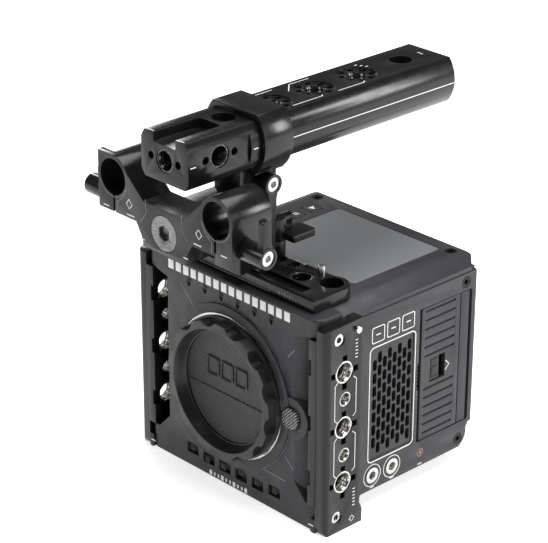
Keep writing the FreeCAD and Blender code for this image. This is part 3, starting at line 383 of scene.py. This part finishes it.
finished_copy("front_panel", "front_casting", CAGE, body_paint, 0.3)
film_pitch, film_z = 4.6, 90.7
film_blocks = [strip(-35.6 + film_pitch * i, at(face) - 0.05, film_z, (3.2, 0.3, 4.0)) for i in range(16)]
join_as("title_film_blocks", film_blocks, CAGE, white_print_and_highlight)
foot_pitch, foot_z = 2.4, 2.2
foot_ticks = []
for i in range(10):
    width, height = (0.9, 1.6) if i % 3 else (1.6, 2.2)
    foot_ticks.append(strip(-12.2 + foot_pitch * i, at(face) - raised, foot_z, (width, 0.16, height)))
join_as("panel_foot_ticks", foot_ticks, CAGE, white_print_and_highlight)
# The bands' notches and sockets are near-black discs: painted shade in their hollows.
notch_pitch, notch_z = 9.8, 87.2
shade_disc_thickness = 0.24                            # thickness of the black discs painted as shade in the two bands' holes
notch_shade_discs = [plug(-24.7 + notch_pitch * i, at(face), notch_z, 3, 1.7, shade_disc_thickness, turn=30) for i in range(6)]
join_as("band_notch_shade", notch_shade_discs, CAGE, shadow_paint)
socket_shade_discs = [plug(x, at(face), z, 4, 2.1, shade_disc_thickness, turn=45)
           for x, z in ((-23.4, 9.6), (-14.2, 7.6), (-4.2, 8.2), (6.5, 9.8), (16.2, 9.0), (26.6, 9.6))]
join_as("band_socket_shade", socket_shade_discs, CAGE, shadow_paint)
# Grey lines on the edges of the casting's steps round the mount are painted highlights.
step_radii = (33.4, 36.2)
step_highlights = [trace(on_front(arc(0, axis_z, r, start, end), face - 0.05), 0.4, "Y")
              for r in step_radii for start, end in ((18, 62), (74, 166), (196, 344))]
join_as("mount_step_highlights", step_highlights, CAGE, grey_print_and_highlight)
# Grey lines along the panel's creases are painted highlights on the folds.
crease_highlights = [trace(on_front(ends, face - raised), 0.45, "Y")
           for ends in (((32.8, 28.3), (37.6, 23.6)), ((19, 17), (33, 16.6)), ((34, 73.4), (37.6, 77.6)),
                        ((-29.7, 83.9), (-20.5, 74.9)))]
join_as("panel_crease_highlights", crease_highlights, CAGE, grey_print_and_highlight)

# ---- Sensor, boards and cooling ------------------------------------------------------------------
# Inside the shell a sensor with its filter sits on a finned aluminium block, next to a fan. The
# boards are green epoxy with a fine weave; an edge of them shows while the card door is open.

glass_filter, nodes, links, shader, place = new_finish("sensor_filter_glass", (0.05, 0.09, 0.10), 0.05)
links.new(spread(nodes, links, noise(nodes, links, place, 90.0), 0.03, 0.08), shader.inputs["Roughness"])
shader.inputs["Coat Weight"].default_value = 1.0
board_green, nodes, links, shader, place = new_finish("board_epoxy", (0.02, 0.09, 0.04), 0.4)
weave = noise(nodes, links, place, 1800.0, 1.0, (1, 1, 0.3))
links.new(tint(nodes, links, weave, (0.012, 0.07, 0.03), (0.025, 0.11, 0.05)),
          shader.inputs["Base Color"])
bump(nodes, links, shader, weave, 0.00003)
raw_aluminium = turned("extruded_aluminium", (0.45, 0.45, 0.46), (0.62, 0.62, 0.63), (0.25, 0.4),
                       700.0, (1, 1, 8))
moulded_black = grained("moulded_black", (0.008, 0.008, 0.009), (0.014, 0.014, 0.015),
                        (0.34, 0.46), 0.0, 1800.0, 0.00005)
for node, finish in (("sensor_glass", glass_filter), ("sensor_board", board_green),
                     ("main_board", board_green), ("sensor_block", raw_aluminium),
                     ("heat_sink", raw_aluminium), ("card_slot", steel),
                     ("fan_frame", moulded_black), ("fan_rotor", moulded_black)):
    wear(frame["nodes"][node], finish)

# ---- Shell ---------------------------------------------------------------------------------------
# One-piece aluminium box that everything is screwed to, painted like the covers. Only a line of it
# shows between them.

wear(frame["nodes"]["body_shell"], body_paint)

# ---- Lens mount and its cap ----------------------------------------------------------------------
# Turned steel bayonet ring on four screws. A dished plastic cap with a scalloped rim closes it: a
# finely ribbed disc with a step across it, three raised film frames and one red dot.

finished_copy("lens_mount", "mount_ring_turned", CAGE, steel, 0.2)
finished_copy("mount_screws", "mount_ring_screws", CAGE, steel, 0.05, 1)

cap_material, nodes, links, shader, place = new_finish("ribbed_cap_plastic", (0.014, 0.014, 0.015), 0.4)
slow = noise(nodes, links, place, 60.0)
links.new(tint(nodes, links, slow, (0.010, 0.010, 0.011), (0.018, 0.018, 0.019)),
          shader.inputs["Base Color"])
smears = noise(nodes, links, place, 300.0, 5.0)
links.new(spread(nodes, links, smears, 0.30, 0.44), shader.inputs["Roughness"])
turned_place = nodes.new("ShaderNodeMapping")
turned_place.inputs["Rotation"].default_value = (0, math.radians(45), 0)
ribs = nodes.new("ShaderNodeTexWave")
ribs.inputs["Scale"].default_value = 190.0
links.new(place, turned_place.inputs["Vector"])
links.new(turned_place.outputs["Vector"], ribs.inputs["Vector"])
bump(nodes, links, shader, ribs.outputs["Fac"], 0.0002)
rim_plastic = grained("cap_rim_plastic", (0.012, 0.012, 0.013), (0.018, 0.018, 0.019), (0.26, 0.38),
                      0.0, 2200.0, 0.00003)
finished_copy("body_cap", "cap_scalloped_rim", "body_cap", rim_plastic, 0.5, 3)


def rounded(u0, u1, v0, v1, radius):
    """Closed outline of a rounded rectangle, as pairs."""
    points = []
    corners = ((u1, v1, 0), (u0, v1, 90), (u0, v0, 180), (u1, v0, 270))
    for u, v, start in corners:
        cu = u - radius if u == u1 else u + radius
        cv = v - radius if v == v1 else v + radius
        points += arc(cu, cv, radius, start, start + 90, 4)
    return points + points[:1]


def half_disc(radius, keep_below, depth, thick):
    """Disc cut by a level line, as the lower step of the cap's face."""
    bpy.ops.mesh.primitive_cylinder_add(vertices=96, radius=radius * mm, depth=thick * mm,
                                        location=(0, at(depth) * mm, axis_z * mm),
                                        rotation=(math.pi / 2, 0, 0))
    disc = bpy.context.active_object
    bpy.ops.object.transform_apply(location=True, rotation=True, scale=True)
    if keep_below is not None:
        bpy.ops.object.mode_set(mode="EDIT")
        bpy.ops.mesh.select_all(action="SELECT")
        bpy.ops.mesh.bisect(plane_co=(0, 0, keep_below * mm), plane_no=(0, 0, 1), use_fill=True,
                            clear_outer=True)
        bpy.ops.object.mode_set(mode="OBJECT")
    return disc


step_z = axis_z - 3.5                   # the lower part of the face stands half a millimetre higher
join_as("cap_ribbed_face", [half_disc(24.3, None, -0.55, 0.3)], "body_cap", cap_material)
join_as("cap_lower_step", [half_disc(23.4, step_z, -0.85, 0.5)], "body_cap", cap_material)
frame_x, frame_z, frame_half = (-8.4, 0, 8.4), (50.6, 58.4), 3.3
frames = []
for x in frame_x:
    outline = rounded(x - frame_half, x + frame_half, *frame_z, 0.9)
    frames.append(trace(on_front(outline, -0.8), 1.1, "Y", 0.8))
join_as("cap_film_frames", frames, "body_cap", rim_plastic)
red_mark = mark_paint("index_red", (0.55, 0.02, 0.015), (0.35, 0.45))
dot_x, dot_z = 19.1, 56.9
join_as("cap_index_dot", [plug(dot_x, at(-0.9), dot_z, 24, 1.1, 0.5)], "body_cap", red_mark)

# ---- Mount release -------------------------------------------------------------------------------
# Round steel plunger with a diamond knurl on its face, beside the mount. Pressed in, it draws back the
# pin that holds the cap or a lens.

knurl, nodes, links, shader, place = new_finish("diamond_knurl", (0.35, 0.35, 0.34), 0.35, 0.8)
heights = []
for angle in (45, -45):
    lay = nodes.new("ShaderNodeMapping")
    lay.inputs["Rotation"].default_value = (0, math.radians(angle), 0)
    lines = nodes.new("ShaderNodeTexWave")
    lines.inputs["Scale"].default_value = 300.0
    links.new(place, lay.inputs["Vector"])
    links.new(lay.outputs["Vector"], lines.inputs["Vector"])
    heights.append(lines.outputs["Fac"])
crossed = nodes.new("ShaderNodeMath")
crossed.operation = "MULTIPLY"
links.new(heights[0], crossed.inputs[0])
links.new(heights[1], crossed.inputs[1])
# The crossed pattern paints the knurl's grooves near black and its crests pale: painted shade in the
# grooves.
links.new(tint(nodes, links, crossed.outputs["Value"], (0.06, 0.06, 0.06), (0.62, 0.62, 0.60)),
          shader.inputs["Base Color"])
smears = noise(nodes, links, place, 200.0)
links.new(spread(nodes, links, smears, 0.28, 0.42), shader.inputs["Roughness"])
bump(nodes, links, shader, crossed.outputs["Value"], 0.0003)
finished_copy("mount_release_button", "release_plunger", "mount_release", knurl, 0.1, 1)
wear(frame["nodes"]["lock_pin"], steel)

# ---- Top cover, screen and keys ------------------------------------------------------------------
# Milled lid with chamfered long edges and a flush status screen under satin glass. Two square
# rubber keys beside it carry a plain triangle and two bars.

def on_top(pairs, z):
    """Points on a level top face, from pairs of x and depth."""
    return [(x, at(y), z) for x, y in pairs]


body_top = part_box("top_cover")[1].z / mm
finished_copy("top_cover", "lid_milled", CAGE, body_paint, 0.3)
screen_finish, nodes, links, shader, place = new_finish("satin_screen_glass", (0.145, 0.15, 0.155), 0.3)
haze = noise(nodes, links, place, 30.0, 5.0)
links.new(tint(nodes, links, haze, (0.155, 0.160, 0.166), (0.166, 0.171, 0.177)),
          shader.inputs["Base Color"])
smears = noise(nodes, links, place, 50.0, 3.0)
links.new(spread(nodes, links, smears, 0.36, 0.42), shader.inputs["Roughness"])
finished_copy("lcd_glass", "screen_window", CAGE, screen_finish, 0.2)
screen_low, screen_high = [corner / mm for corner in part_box("lcd_glass")]
depth_low, depth_high = screen_low.y - at(0), screen_high.y - at(0)
gap_inset = 0.1                              # line of painted shade in the gap outside the glass, under the lid's top
gap_shade_outline = rounded(screen_low.x - gap_inset, screen_high.x + gap_inset, depth_low - gap_inset, depth_high + gap_inset, 2.0)
# A black line round the glass: painted shade in the gap between glass and lid.
join_as("screen_gap_shade", [trace(on_top(gap_shade_outline, body_top - gap_inset), 0.5, "Z")], CAGE,
        shadow_paint)
rubber = grained("key_rubber", (0.018, 0.018, 0.019), (0.026, 0.026, 0.027), (0.55, 0.7), 0.0, 1200.0,
                 0.00004)
key_x, play_y, mode_y = -32.2, 78.6, (68.2, 69.6)
bar_ink = 0.14                          # thickness of the marks on keys, connectors and bar
key_mark = body_top + bar_ink           # middle of the marks, which stand on the keys
for node, piece in (("play_button", "play_key"), ("mode_button", "mode_key")):
    finished_copy(node, piece, node, rubber, 0.2)
join_as("play_mark", [plug(key_x, at(play_y), key_mark, 3, 1.9, bar_ink, "Z", 30)], "play_button",
        white_print_and_highlight)
join_as("mode_mark", [strip(key_x, at(y), key_mark, (2.6, 0.5, bar_ink)) for y in mode_y], "mode_button",
        white_print_and_highlight)

# ---- Right side: vent, door and jacks ------------------------------------------------------------
# Pressed side cover with a slotted exhaust, a ribbed card door on a steel pin with a thumb latch,
# two steel-ringed jacks and a lamp. Plain white frames and dashes are printed round them.

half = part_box("top_cover")[1].x / mm     # half the camera's width, over the side covers


def on_side(pairs, side=1, proud=0.0, x=None):
    """Points on an upright side face, right (1) or left (-1), from pairs of depth and z."""
    wall = (half if x is None else x) + proud
    return [(side * wall, at(y), z) for y, z in pairs]


finished_copy("right_side_cover", "right_cover_pressed", CAGE, body_paint, 0.25)
finished_copy("exhaust_grille", "exhaust_slots", CAGE, body_paint, 0.12, 1)
black_screw = turned("blackened_screw", (0.010, 0.010, 0.010), (0.030, 0.030, 0.030), (0.3, 0.45),
                     900.0, (1, 1, 1))
finished_copy("cover_screws", "cover_screw_set", CAGE, black_screw, 0.12)
door = finished_copy("media_door", "card_door", "media_door", body_paint, 0.15)
door_low, door_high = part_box("media_door")
end_play = 0.996                        # its ends clear the round corners of the opening as it swings
select_only(door)
bpy.ops.object.mode_set(mode="EDIT")
bpy.ops.mesh.select_all(action="SELECT")
bpy.ops.transform.resize(value=(1, 1, end_play), center_override=(door_low + door_high) / 2)
bpy.ops.object.mode_set(mode="OBJECT")
finished_copy("door_latch", "door_thumb_latch", "door_latch", rubber, 0.2)
finished_copy("door_hinge_pin", "door_pin", CAGE, steel, 0.1)
finished_copy("audio_jacks", "jack_sleeves", CAGE, steel, 0.15)
lamp, nodes, links, shader, place = new_finish("lamp_lens", (0.25, 0.01, 0.01), 0.15)
links.new(tint(nodes, links, noise(nodes, links, place, 500.0), (0.20, 0.01, 0.01), (0.34, 0.015, 0.012)),
          shader.inputs["Base Color"])
shader.inputs["Coat Weight"].default_value = 1.0
finished_copy("status_led", "tally_lamp", CAGE, lamp, 0.15)
vent_y, vent_z = (30.2, 56.7), (20.4, 72.6)
vent = [trace(on_side(rounded(*vent_y, *vent_z, 2.2), proud=raised), 0.55, "X")]
join_as("vent_outline", vent, CAGE, white_print_and_highlight)
film_width, film_z = 7.0, (74.6, 81.4)
side_frames = []
for y in (31.2, 39.9, 48.6):
    outline = rounded(y, y + film_width, *film_z, 0.8)
    side_frames.append(trace(on_side(outline, proud=raised), 0.45, "X"))
    side_frames.append(strip(half + raised, at(y + film_width / 2), 78.0, (ink, 2.6, 0.5)))
join_as("frame_marks", side_frames, CAGE, white_print_and_highlight)
dash_y, dash_z, dash_pitch = 58.1, 40.5, 1.7
dashes = [strip(half + raised, at(dash_y), dash_z + dash_pitch * i, (ink, 0.35, 0.9)) for i in range(14)]
join_as("side_dashes", dashes, CAGE, grey_print_and_highlight)
jack_y, lamp_y = (33.0, 44.6), 61.6
for number, (y, z) in enumerate(zip(jack_y, (14.2, 14.05))):
    outline = trace(on_side(arc(y, z, 4.9, 0, 360, 28), proud=raised), 0.35, "X")
    join_as(f"jack_outline_{number + 1}", [outline], CAGE, white_print_and_highlight)
lamp_outline = trace(on_side(arc(lamp_y, 14.0, 1.7, 0, 360, 20), proud=raised), 0.45, "X")
join_as("lamp_ring", [lamp_outline], CAGE, grey_print_and_highlight)
join_as("jack_marks", [strip(half + raised, at(y), 8.7, (ink, 2.4, 0.45)) for y in (*jack_y, lamp_y)],
        CAGE, white_print_and_highlight)
lip_line = [(71.0, 54.6), (67.3, 54.6), (67.3, 46.8), (71.0, 46.8)]
latch_lip = [trace(on_side(lip_line, x=half - 0.6), 0.9, "X", 0.7)]
join_as("latch_lip", latch_lip, "door_latch", rubber)
arrow = [(75.6, 52.2), (77.8, 50.0), (75.6, 47.8)]
chevron = [trace(on_side(arrow, x=half - 0.2, proud=raised), 0.5, "X")]
join_as("door_chevron", chevron, "media_door", white_print_and_highlight)

# ---- Left side: intake and two round keys --------------------------------------------------------
# The same pressing mirrored, with long intake slots. A record key with a red ring and a power key
# stand in round holes.

finished_copy("left_side_cover", "left_cover_pressed", CAGE, body_paint, 0.25)
finished_copy("record_button", "record_key", "record_button", rubber, 0.2)
finished_copy("power_button", "power_key", "power_button", rubber, 0.2)
for body, material in (("record_button", red_mark), ("power_button", white_print_and_highlight)):
    low, high = [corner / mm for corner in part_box(body)]
    y, z, r = (low.y + high.y) / 2 - at(0), (low.z + high.z) / 2, (high.z - low.z) / 2
    ring = trace(on_side(arc(y, z, 0.55 * r, 0, 360, 24), -1, x=-low.x, proud=raised), 0.6, "X")
    join_as(body + "_ring", [ring], body, material)
    outer = trace(on_side(arc(y, z, r + 1.3, 0, 360, 32), -1, proud=raised), 0.4, "X")
    join_as(body + "_outline", [outer], CAGE, white_print_and_highlight)
intake_y, intake_z = (29.4, 59.6), (23.6, 70.4)
intake = [trace(on_side(rounded(*intake_y, *intake_z, 2.2), -1, proud=raised), 0.5, "X")]
join_as("intake_outline", intake, CAGE, white_print_and_highlight)

# ---- Back: battery seats and connectors ----------------------------------------------------------
# Milled plate with two raised battery seats and their hook slots, gold blades in moulded blocks,
# sprung release tabs and three barrel connectors.

finished_copy("back_plate", "battery_seats", CAGE, body_paint, 0.3)
for side in ("left", "right"):
    tab = "battery_release_" + side
    finished_copy(tab, "release_tab_" + side, tab, rubber, 0.2)
gold = turned("gold_plate", (0.72, 0.48, 0.14), (0.92, 0.66, 0.24), (0.18, 0.3), 800.0, (1, 1, 4))
finished_copy("battery_contacts", "contact_blades", CAGE, gold, 0.1, 1)
for node in ("video_connector", "power_connector", "control_connector"):
    finished_copy(node, node + "_barrel", CAGE, steel, 0.2)
    low, high = [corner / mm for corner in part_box(node)]
    centre_x, centre_z = (low.x + high.x) / 2, (low.z + high.z) / 2
    under_z = centre_z - (high.z - low.z) / 2 - 2.0
    under = [strip(centre_x + step, at(96.1), under_z, (1.2, bar_ink, 0.45)) for step in (-2.2, 0, 2.2)]
    join_as(node + "_marks", under, CAGE, white_print_and_highlight)

# ---- Cage rails ----------------------------------------------------------------------------------
# Two plates milled from bar and anodised black, screwed to the sides. Steel thread bushes are pressed
# in, each large one between four slots that stop a fitting from turning; white setting lines run
# between them.

anodised = grained("black_anodising", (0.006, 0.006, 0.007), (0.009, 0.009, 0.010), (0.17, 0.26),
                   0.0, 3000.0, 0.00002, 0.08, 0.28)
rail_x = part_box("right_rail")[1].x / mm
big_z, small_z = (22.2, 47.0, 71.5), (34.3, 59.4)
hole_y = 10.2
line_width, corner = 0.4, 1.4
for side, name in ((1, "right"), (-1, "left")):
    finished_copy(name + "_rail", name + "_rail_milled", CAGE, anodised, 0.35, 3)
    lines = []
    for z0, z1 in ((25.6, 43.6), (50.4, 68.2)):
        for end_y, y in ((6.4, 5.0), (15.2, 16.8)):
            bracket = [(end_y, z0), (y, z0 + corner), (y, z1 - corner), (end_y, z1)]
            lines.append(trace(on_side(bracket, side, raised, rail_x), line_width, "X"))
    diamond = [(15.7, 2.1), (17.1, 3.5), (15.7, 4.9), (14.3, 3.5), (15.7, 2.1)]
    lines.append(trace(on_side(diamond, side, raised, rail_x), line_width, "X"))
    lines += [strip(side * (rail_x + raised), at(16.6), z0 + 1.5 * i, (ink, 1.3, 0.4))
              for z0 in (76.2, 9.4) for i in range(6)]
    join_as(name + "_rail_lines", lines, CAGE, white_print_and_highlight)
    foot_mark = strip(side * 48.5, at(0.16), 3.2, (2.6, bar_ink, 0.6))
    join_as(name + "_foot_mark", [foot_mark], CAGE, white_print_and_highlight)
finished_copy("thread_inserts", "rail_bushes", CAGE, steel, 0.15)
finished_copy("rail_screws", "rail_screw_set", CAGE, steel, 0.15)
hex_depth = 0.95                        # floor of the screws' sockets under the rail's face
# Black hexagons at the sockets' floors: painted shade in the screws' sockets.
socket_shade_hexes = [plug(side * (rail_x - hex_depth), at(y), z, 6, 1.25, 0.2, "X")
         for side in (1, -1) for y, z in ((7.15, 86.3), (7.25, 6.9))]
join_as("rail_socket_shade", socket_shade_hexes, CAGE, shadow_paint)
finished_copy("cage_dowels", "dowel_set", CAGE, steel, 0.2)
mouth = rail_x - 0.3                    # where the threads start
put_threads("rail_thread_large", thread_ring(large_bore, 5.0),
            [((side * mouth, at(hole_y), z), (side, 0, 0)) for side in (1, -1) for z in big_z], CAGE,
            thread_steel)
put_threads("rail_thread_small", thread_ring(small_bore, 5.0),
            [((side * mouth, at(hole_y + 0.7), z), (side, 0, 0)) for side in (1, -1) for z in small_z],
            CAGE, thread_steel)

# ---- Cage top plate ------------------------------------------------------------------------------
# Milled plate across the lid that ties the rails, with a pressed tray for the post's foot, wide
# holes at its ends, threads, dowels and a row of white setting ticks.

finished_copy("cage_top_plate", "top_plate_milled", CAGE, anodised, 0.35, 3)
finished_copy("top_plate_screws", "plate_screw_set", CAGE, black_screw, 0.12)
plate_low, plate_high = [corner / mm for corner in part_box("cage_top_plate")]
put_threads("plate_thread", thread_ring(large_bore, 5.0),
            [((side * 24.0, at(17.7), plate_high.z - 0.4), (0, 0, 1)) for side in (1, -1)], CAGE,
            black_screw)
tick_pitch, tick_y = 1.1, 26.6
ticks = [strip(-1 + tick_pitch * i, at(tick_y), plate_high.z + raised, (0.3, 0.8 if i % 4 else 1.5, ink))
         for i in range(17)]
join_as("top_plate_ticks", ticks, CAGE, white_print_and_highlight)
plate_front = plate_low.y - at(0)
etched = [trace(on_front(rounded(-30, 19.5, 95.6, 98.4, 0.6), plate_front - raised), 0.3, "Y")]
etched += [strip(23.4 + 1.5 * i, at(plate_front) - raised, 97.0, (0.6, ink, 1.6 if i % 2 else 0.9))
           for i in range(7)]
join_as("top_plate_front_marks", etched, CAGE, grey_print_and_highlight)

# ---- Riser and rod bracket -----------------------------------------------------------------------
# A milled post stands on the plate. One countersunk steel bolt holds the double rod sleeve to it; each
# sleeve is split and is pinched by a small lever with a bright screw in its hub.

finished_copy("riser_post", "riser_milled", CAGE, anodised, 0.35, 3)
finished_copy("rod_bracket", "rod_sleeves", CAGE, anodised, 0.4, 3)
brushed = turned("brushed_steel", (0.10, 0.10, 0.10), (0.26, 0.26, 0.25), (0.24, 0.40), 420.0, (1, 1, 14))
finished_copy("bracket_bolt", "bracket_screw", CAGE, brushed, 0.2)
bracket_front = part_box("rod_bracket")[0].y / mm - at(0)
rod_z, rod_x = 140.4, 30.0              # axes of the two rod sleeves
mark_face = bracket_front - raised
marks = []
for side in (-1, 1):
    diamond = [(side * 20.3 + dx, 131.7 + dz)
               for dx, dz in ((0, 2.0), (1.7, 0), (0, -2.0), (-1.7, 0), (0, 2.0))]
    marks.append(trace(on_front(diamond, mark_face), 0.5, "Y"))
    marks += [strip(side * x, at(mark_face), 127.2, (w, ink, 0.5)) for x, w in ((19.6, 4.4), (34.4, 3.4))]
    marks.append(strip(side * 12.6, at(mark_face), 119.4, (2.6, ink, 0.5)))
join_as("bracket_marks", marks, CAGE, white_print_and_highlight)
# Grey lines along the bridge's inset edges and round the sleeves' bores are painted highlights on those
# edges.
edge_highlights = []
for side in (-1, 1):
    for ends in (((10.6, 136.6), (10.2, 131.0), (13.6, 126.6)),
                 ((27.6, 126.6), (27.6, 130.6), (23.6, 133.8), (21.8, 138.0))):
        edge_highlights.append(trace(on_front([(side * x, z) for x, z in ends], mark_face), 0.35, "Y"))
    edge_highlights.append(trace(on_front(arc(side * rod_x, rod_z, 8.3, 200, 340, 16), mark_face), 0.3, "Y"))
join_as("bracket_edge_highlights", edge_highlights, CAGE, grey_print_and_highlight)
for name in ("right_rod", "left_rod", "collar"):
    lever = name + "_lever"
    finished_copy(lever, lever + "_cast", lever, anodised, 0.3, 3)
    finished_copy(name + "_screw", lever + "_screw", lever, steel, 0.15)

# ---- Quick-release lever -------------------------------------------------------------------------
# Anodised cap with a thumb paddle, on a short post that is screwed to the plate. It turns a quarter
# turn to let the riser go.

finished_copy("post_hub", "release_post", CAGE, anodised, 0.2)
finished_copy("post_lever", "release_paddle", "post_lever", anodised, 0.3, 3)

# ---- Bar handle ----------------------------------------------------------------------------------
# Thirty-millimetre bar, milled flat above and below and anodised. It slides in a split collar; steel
# bushes stand in its top, sides and front, and white lines mark its travel.

black_thread = turned("blackened_thread_steel", (0.020, 0.020, 0.020), (0.16, 0.16, 0.155),
                      (0.14, 0.26), 1400.0, (1, 1, 1))
finished_copy("handle_collar", "collar_split", CAGE, anodised, 0.35, 3)
finished_copy("handle_bar", "bar_milled", "handle_bar", anodised, 0.3, 3)
finished_copy("handle_inserts", "handle_bushes", "handle_bar", black_thread, 0.15)
bar_low, bar_high = [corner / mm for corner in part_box("handle_bar")]
bar_top, bar_front, bar_half = bar_high.z, bar_low.y - at(0), bar_high.x
top_y, side_y, side_z, front_z = (23.2, 47.0, 71.1), -16.2, 157.0, 155.4
put_threads("handle_thread_top", thread_ring(large_bore, 6.0),
            [((0, at(y), bar_top - 1.0), (0, 0, 1)) for y in top_y], "handle_bar", black_thread)
put_threads("handle_thread_side", thread_ring(large_bore, 5.0),
            [((side * (bar_half - 2.1), at(side_y), side_z), (side, 0, 0)) for side in (1, -1)],
            "handle_bar", black_thread)
put_threads("handle_thread_front", thread_ring(large_bore, 6.0),
            [((0, at(bar_front + 0.5), front_z), (0, -1, 0))], "handle_bar", black_thread)
line_z, dash_z = 155.2, 155.8
side_flat = 1.4                         # the bar's sides are milled flat in front of the collar
lines = []
for side in (1, -1):
    lines.append(trace(on_side([(20.4, line_z), (114.0, line_z)], side, -raised, bar_half), 0.45, "X"))
    lines.append(strip(side * (bar_half - side_flat), at(-29.8), dash_z, (bar_ink, 2.8, 0.5)))
    # A white dash across the side at the collar's front is a painted highlight on the ring there.
    lines.append(strip(side * (bar_half - 0.06), at(1.4), dash_z, (bar_ink, 2.4, 0.5)))
join_as("bar_side_lines_and_highlight", lines, "handle_bar", white_print_and_highlight)
bar_top_mark_z = bar_top + raised
crown = [trace(on_top(path, bar_top_mark_z), 0.42, "Z")
         for path in ([(9.2, 26.4), (9.2, 42.6), (8.2, 43.6)], [(9.2, 51.6), (9.2, 66.4), (8.2, 67.4)],
                      [(-9.4, 22.0), (-9.4, 32.6)], [(-3.8, 36.6), (-9.4, 42.2), (-9.4, 53.0)])]
crown += [strip(x, at(y), bar_top_mark_z, (0.45, 1.5, ink))
          for x, y in ((-7.6, 78.4), (-5.6, 79.6), (-3.6, 80.8))]
crown.append(strip(0, at(109), bar_top_mark_z, (3.0, 0.5, ink)))
# White dashes at the front pocket's lips are painted highlights on those edges.
crown += [strip(side * 8.7, at(bar_front + 0.9), bar_top_mark_z, (3.6, 0.5, ink)) for side in (1, -1)]
join_as("bar_top_lines_and_highlights", crown, "handle_bar", white_print_and_highlight)

# ---- Floor, light and camera ---------------------------------------------------------------------
# A plain pale floor at standing height, three large soft lights, two smaller ones that draw the edges,
# and a plain bright surround.

bpy.ops.mesh.primitive_plane_add(size=8.0, location=(0, 0, cad_box[0][2]))
floor = bpy.context.active_object
floor.name = "floor"
floor_finish, nodes, links, shader, place = new_finish("pale_floor", (0.92, 0.92, 0.92), 0.6)
links.new(spread(nodes, links, noise(nodes, links, place, 3.0), 0.55, 0.65), shader.inputs["Roughness"])
shader.inputs["Emission Color"].default_value = (1, 1, 1, 1)
shader.inputs["Emission Strength"].default_value = 0.66
wear(floor, floor_finish)


def soft_light(name, place, target, size, power):
    """Rectangular light at a place, turned towards a target."""
    light = bpy.data.lights.new(name, "AREA")
    light.shape = "RECTANGLE"
    light.size, light.size_y = size
    light.energy = power
    panel = bpy.data.objects.new(name, light)
    bpy.context.scene.collection.objects.link(panel)
    panel.location = place
    panel.rotation_euler = (Vector(target) - Vector(place)).to_track_quat("-Z", "Y").to_euler()


middle, handle = (0.0, 0.0, 0.08), (0.0, 0.0, 0.14)
soft_light("key", (-0.55, -0.9, 0.75), middle, (0.35, 0.35), 2.6)
soft_light("side", (1.1, 0.25, 0.45), middle, (0.3, 0.7), 3)
soft_light("top", (0.1, 0.2, 1.2), middle, (1.2, 0.8), 17)
soft_light("edge", (0.90, 0.84, 0.40), handle, (0.26, 0.4), 6.0)
soft_light("rim", (-1.0, 0.5, 0.5), handle, (0.15, 0.6), 2.6)
world = bpy.data.worlds.new("surround")
bpy.context.scene.world = world
world.use_nodes = True
world.node_tree.nodes["Background"].inputs["Color"].default_value = (1, 1, 1, 1)
world.node_tree.nodes["Background"].inputs["Strength"].default_value = 0.14
bpy.context.scene.view_settings.view_transform = "Standard"

azimuth, elevation, roll = math.radians(46.392), math.radians(24.546), math.radians(-0.237)
ahead = Vector((-math.sin(azimuth) * math.cos(elevation), math.cos(azimuth) * math.cos(elevation),
                -math.sin(elevation)))
level = Vector((math.cos(azimuth), math.sin(azimuth), 0))
down = ahead.cross(level)
right = math.cos(roll) * level + math.sin(roll) * down
up = math.sin(roll) * level - math.cos(roll) * down
camera_data = bpy.data.cameras.new("camera")
camera_data.sensor_width = 36           # both in millimetres
camera_data.lens = 145.5
camera = bpy.data.objects.new("camera", camera_data)
bpy.context.scene.collection.objects.link(camera)
stand = (0.59492, -0.58133, 0.46662)
turn = Matrix((right, up, -ahead)).transposed().to_4x4()
camera.matrix_world = Matrix.Translation(stand) @ turn
bpy.context.scene.camera = camera
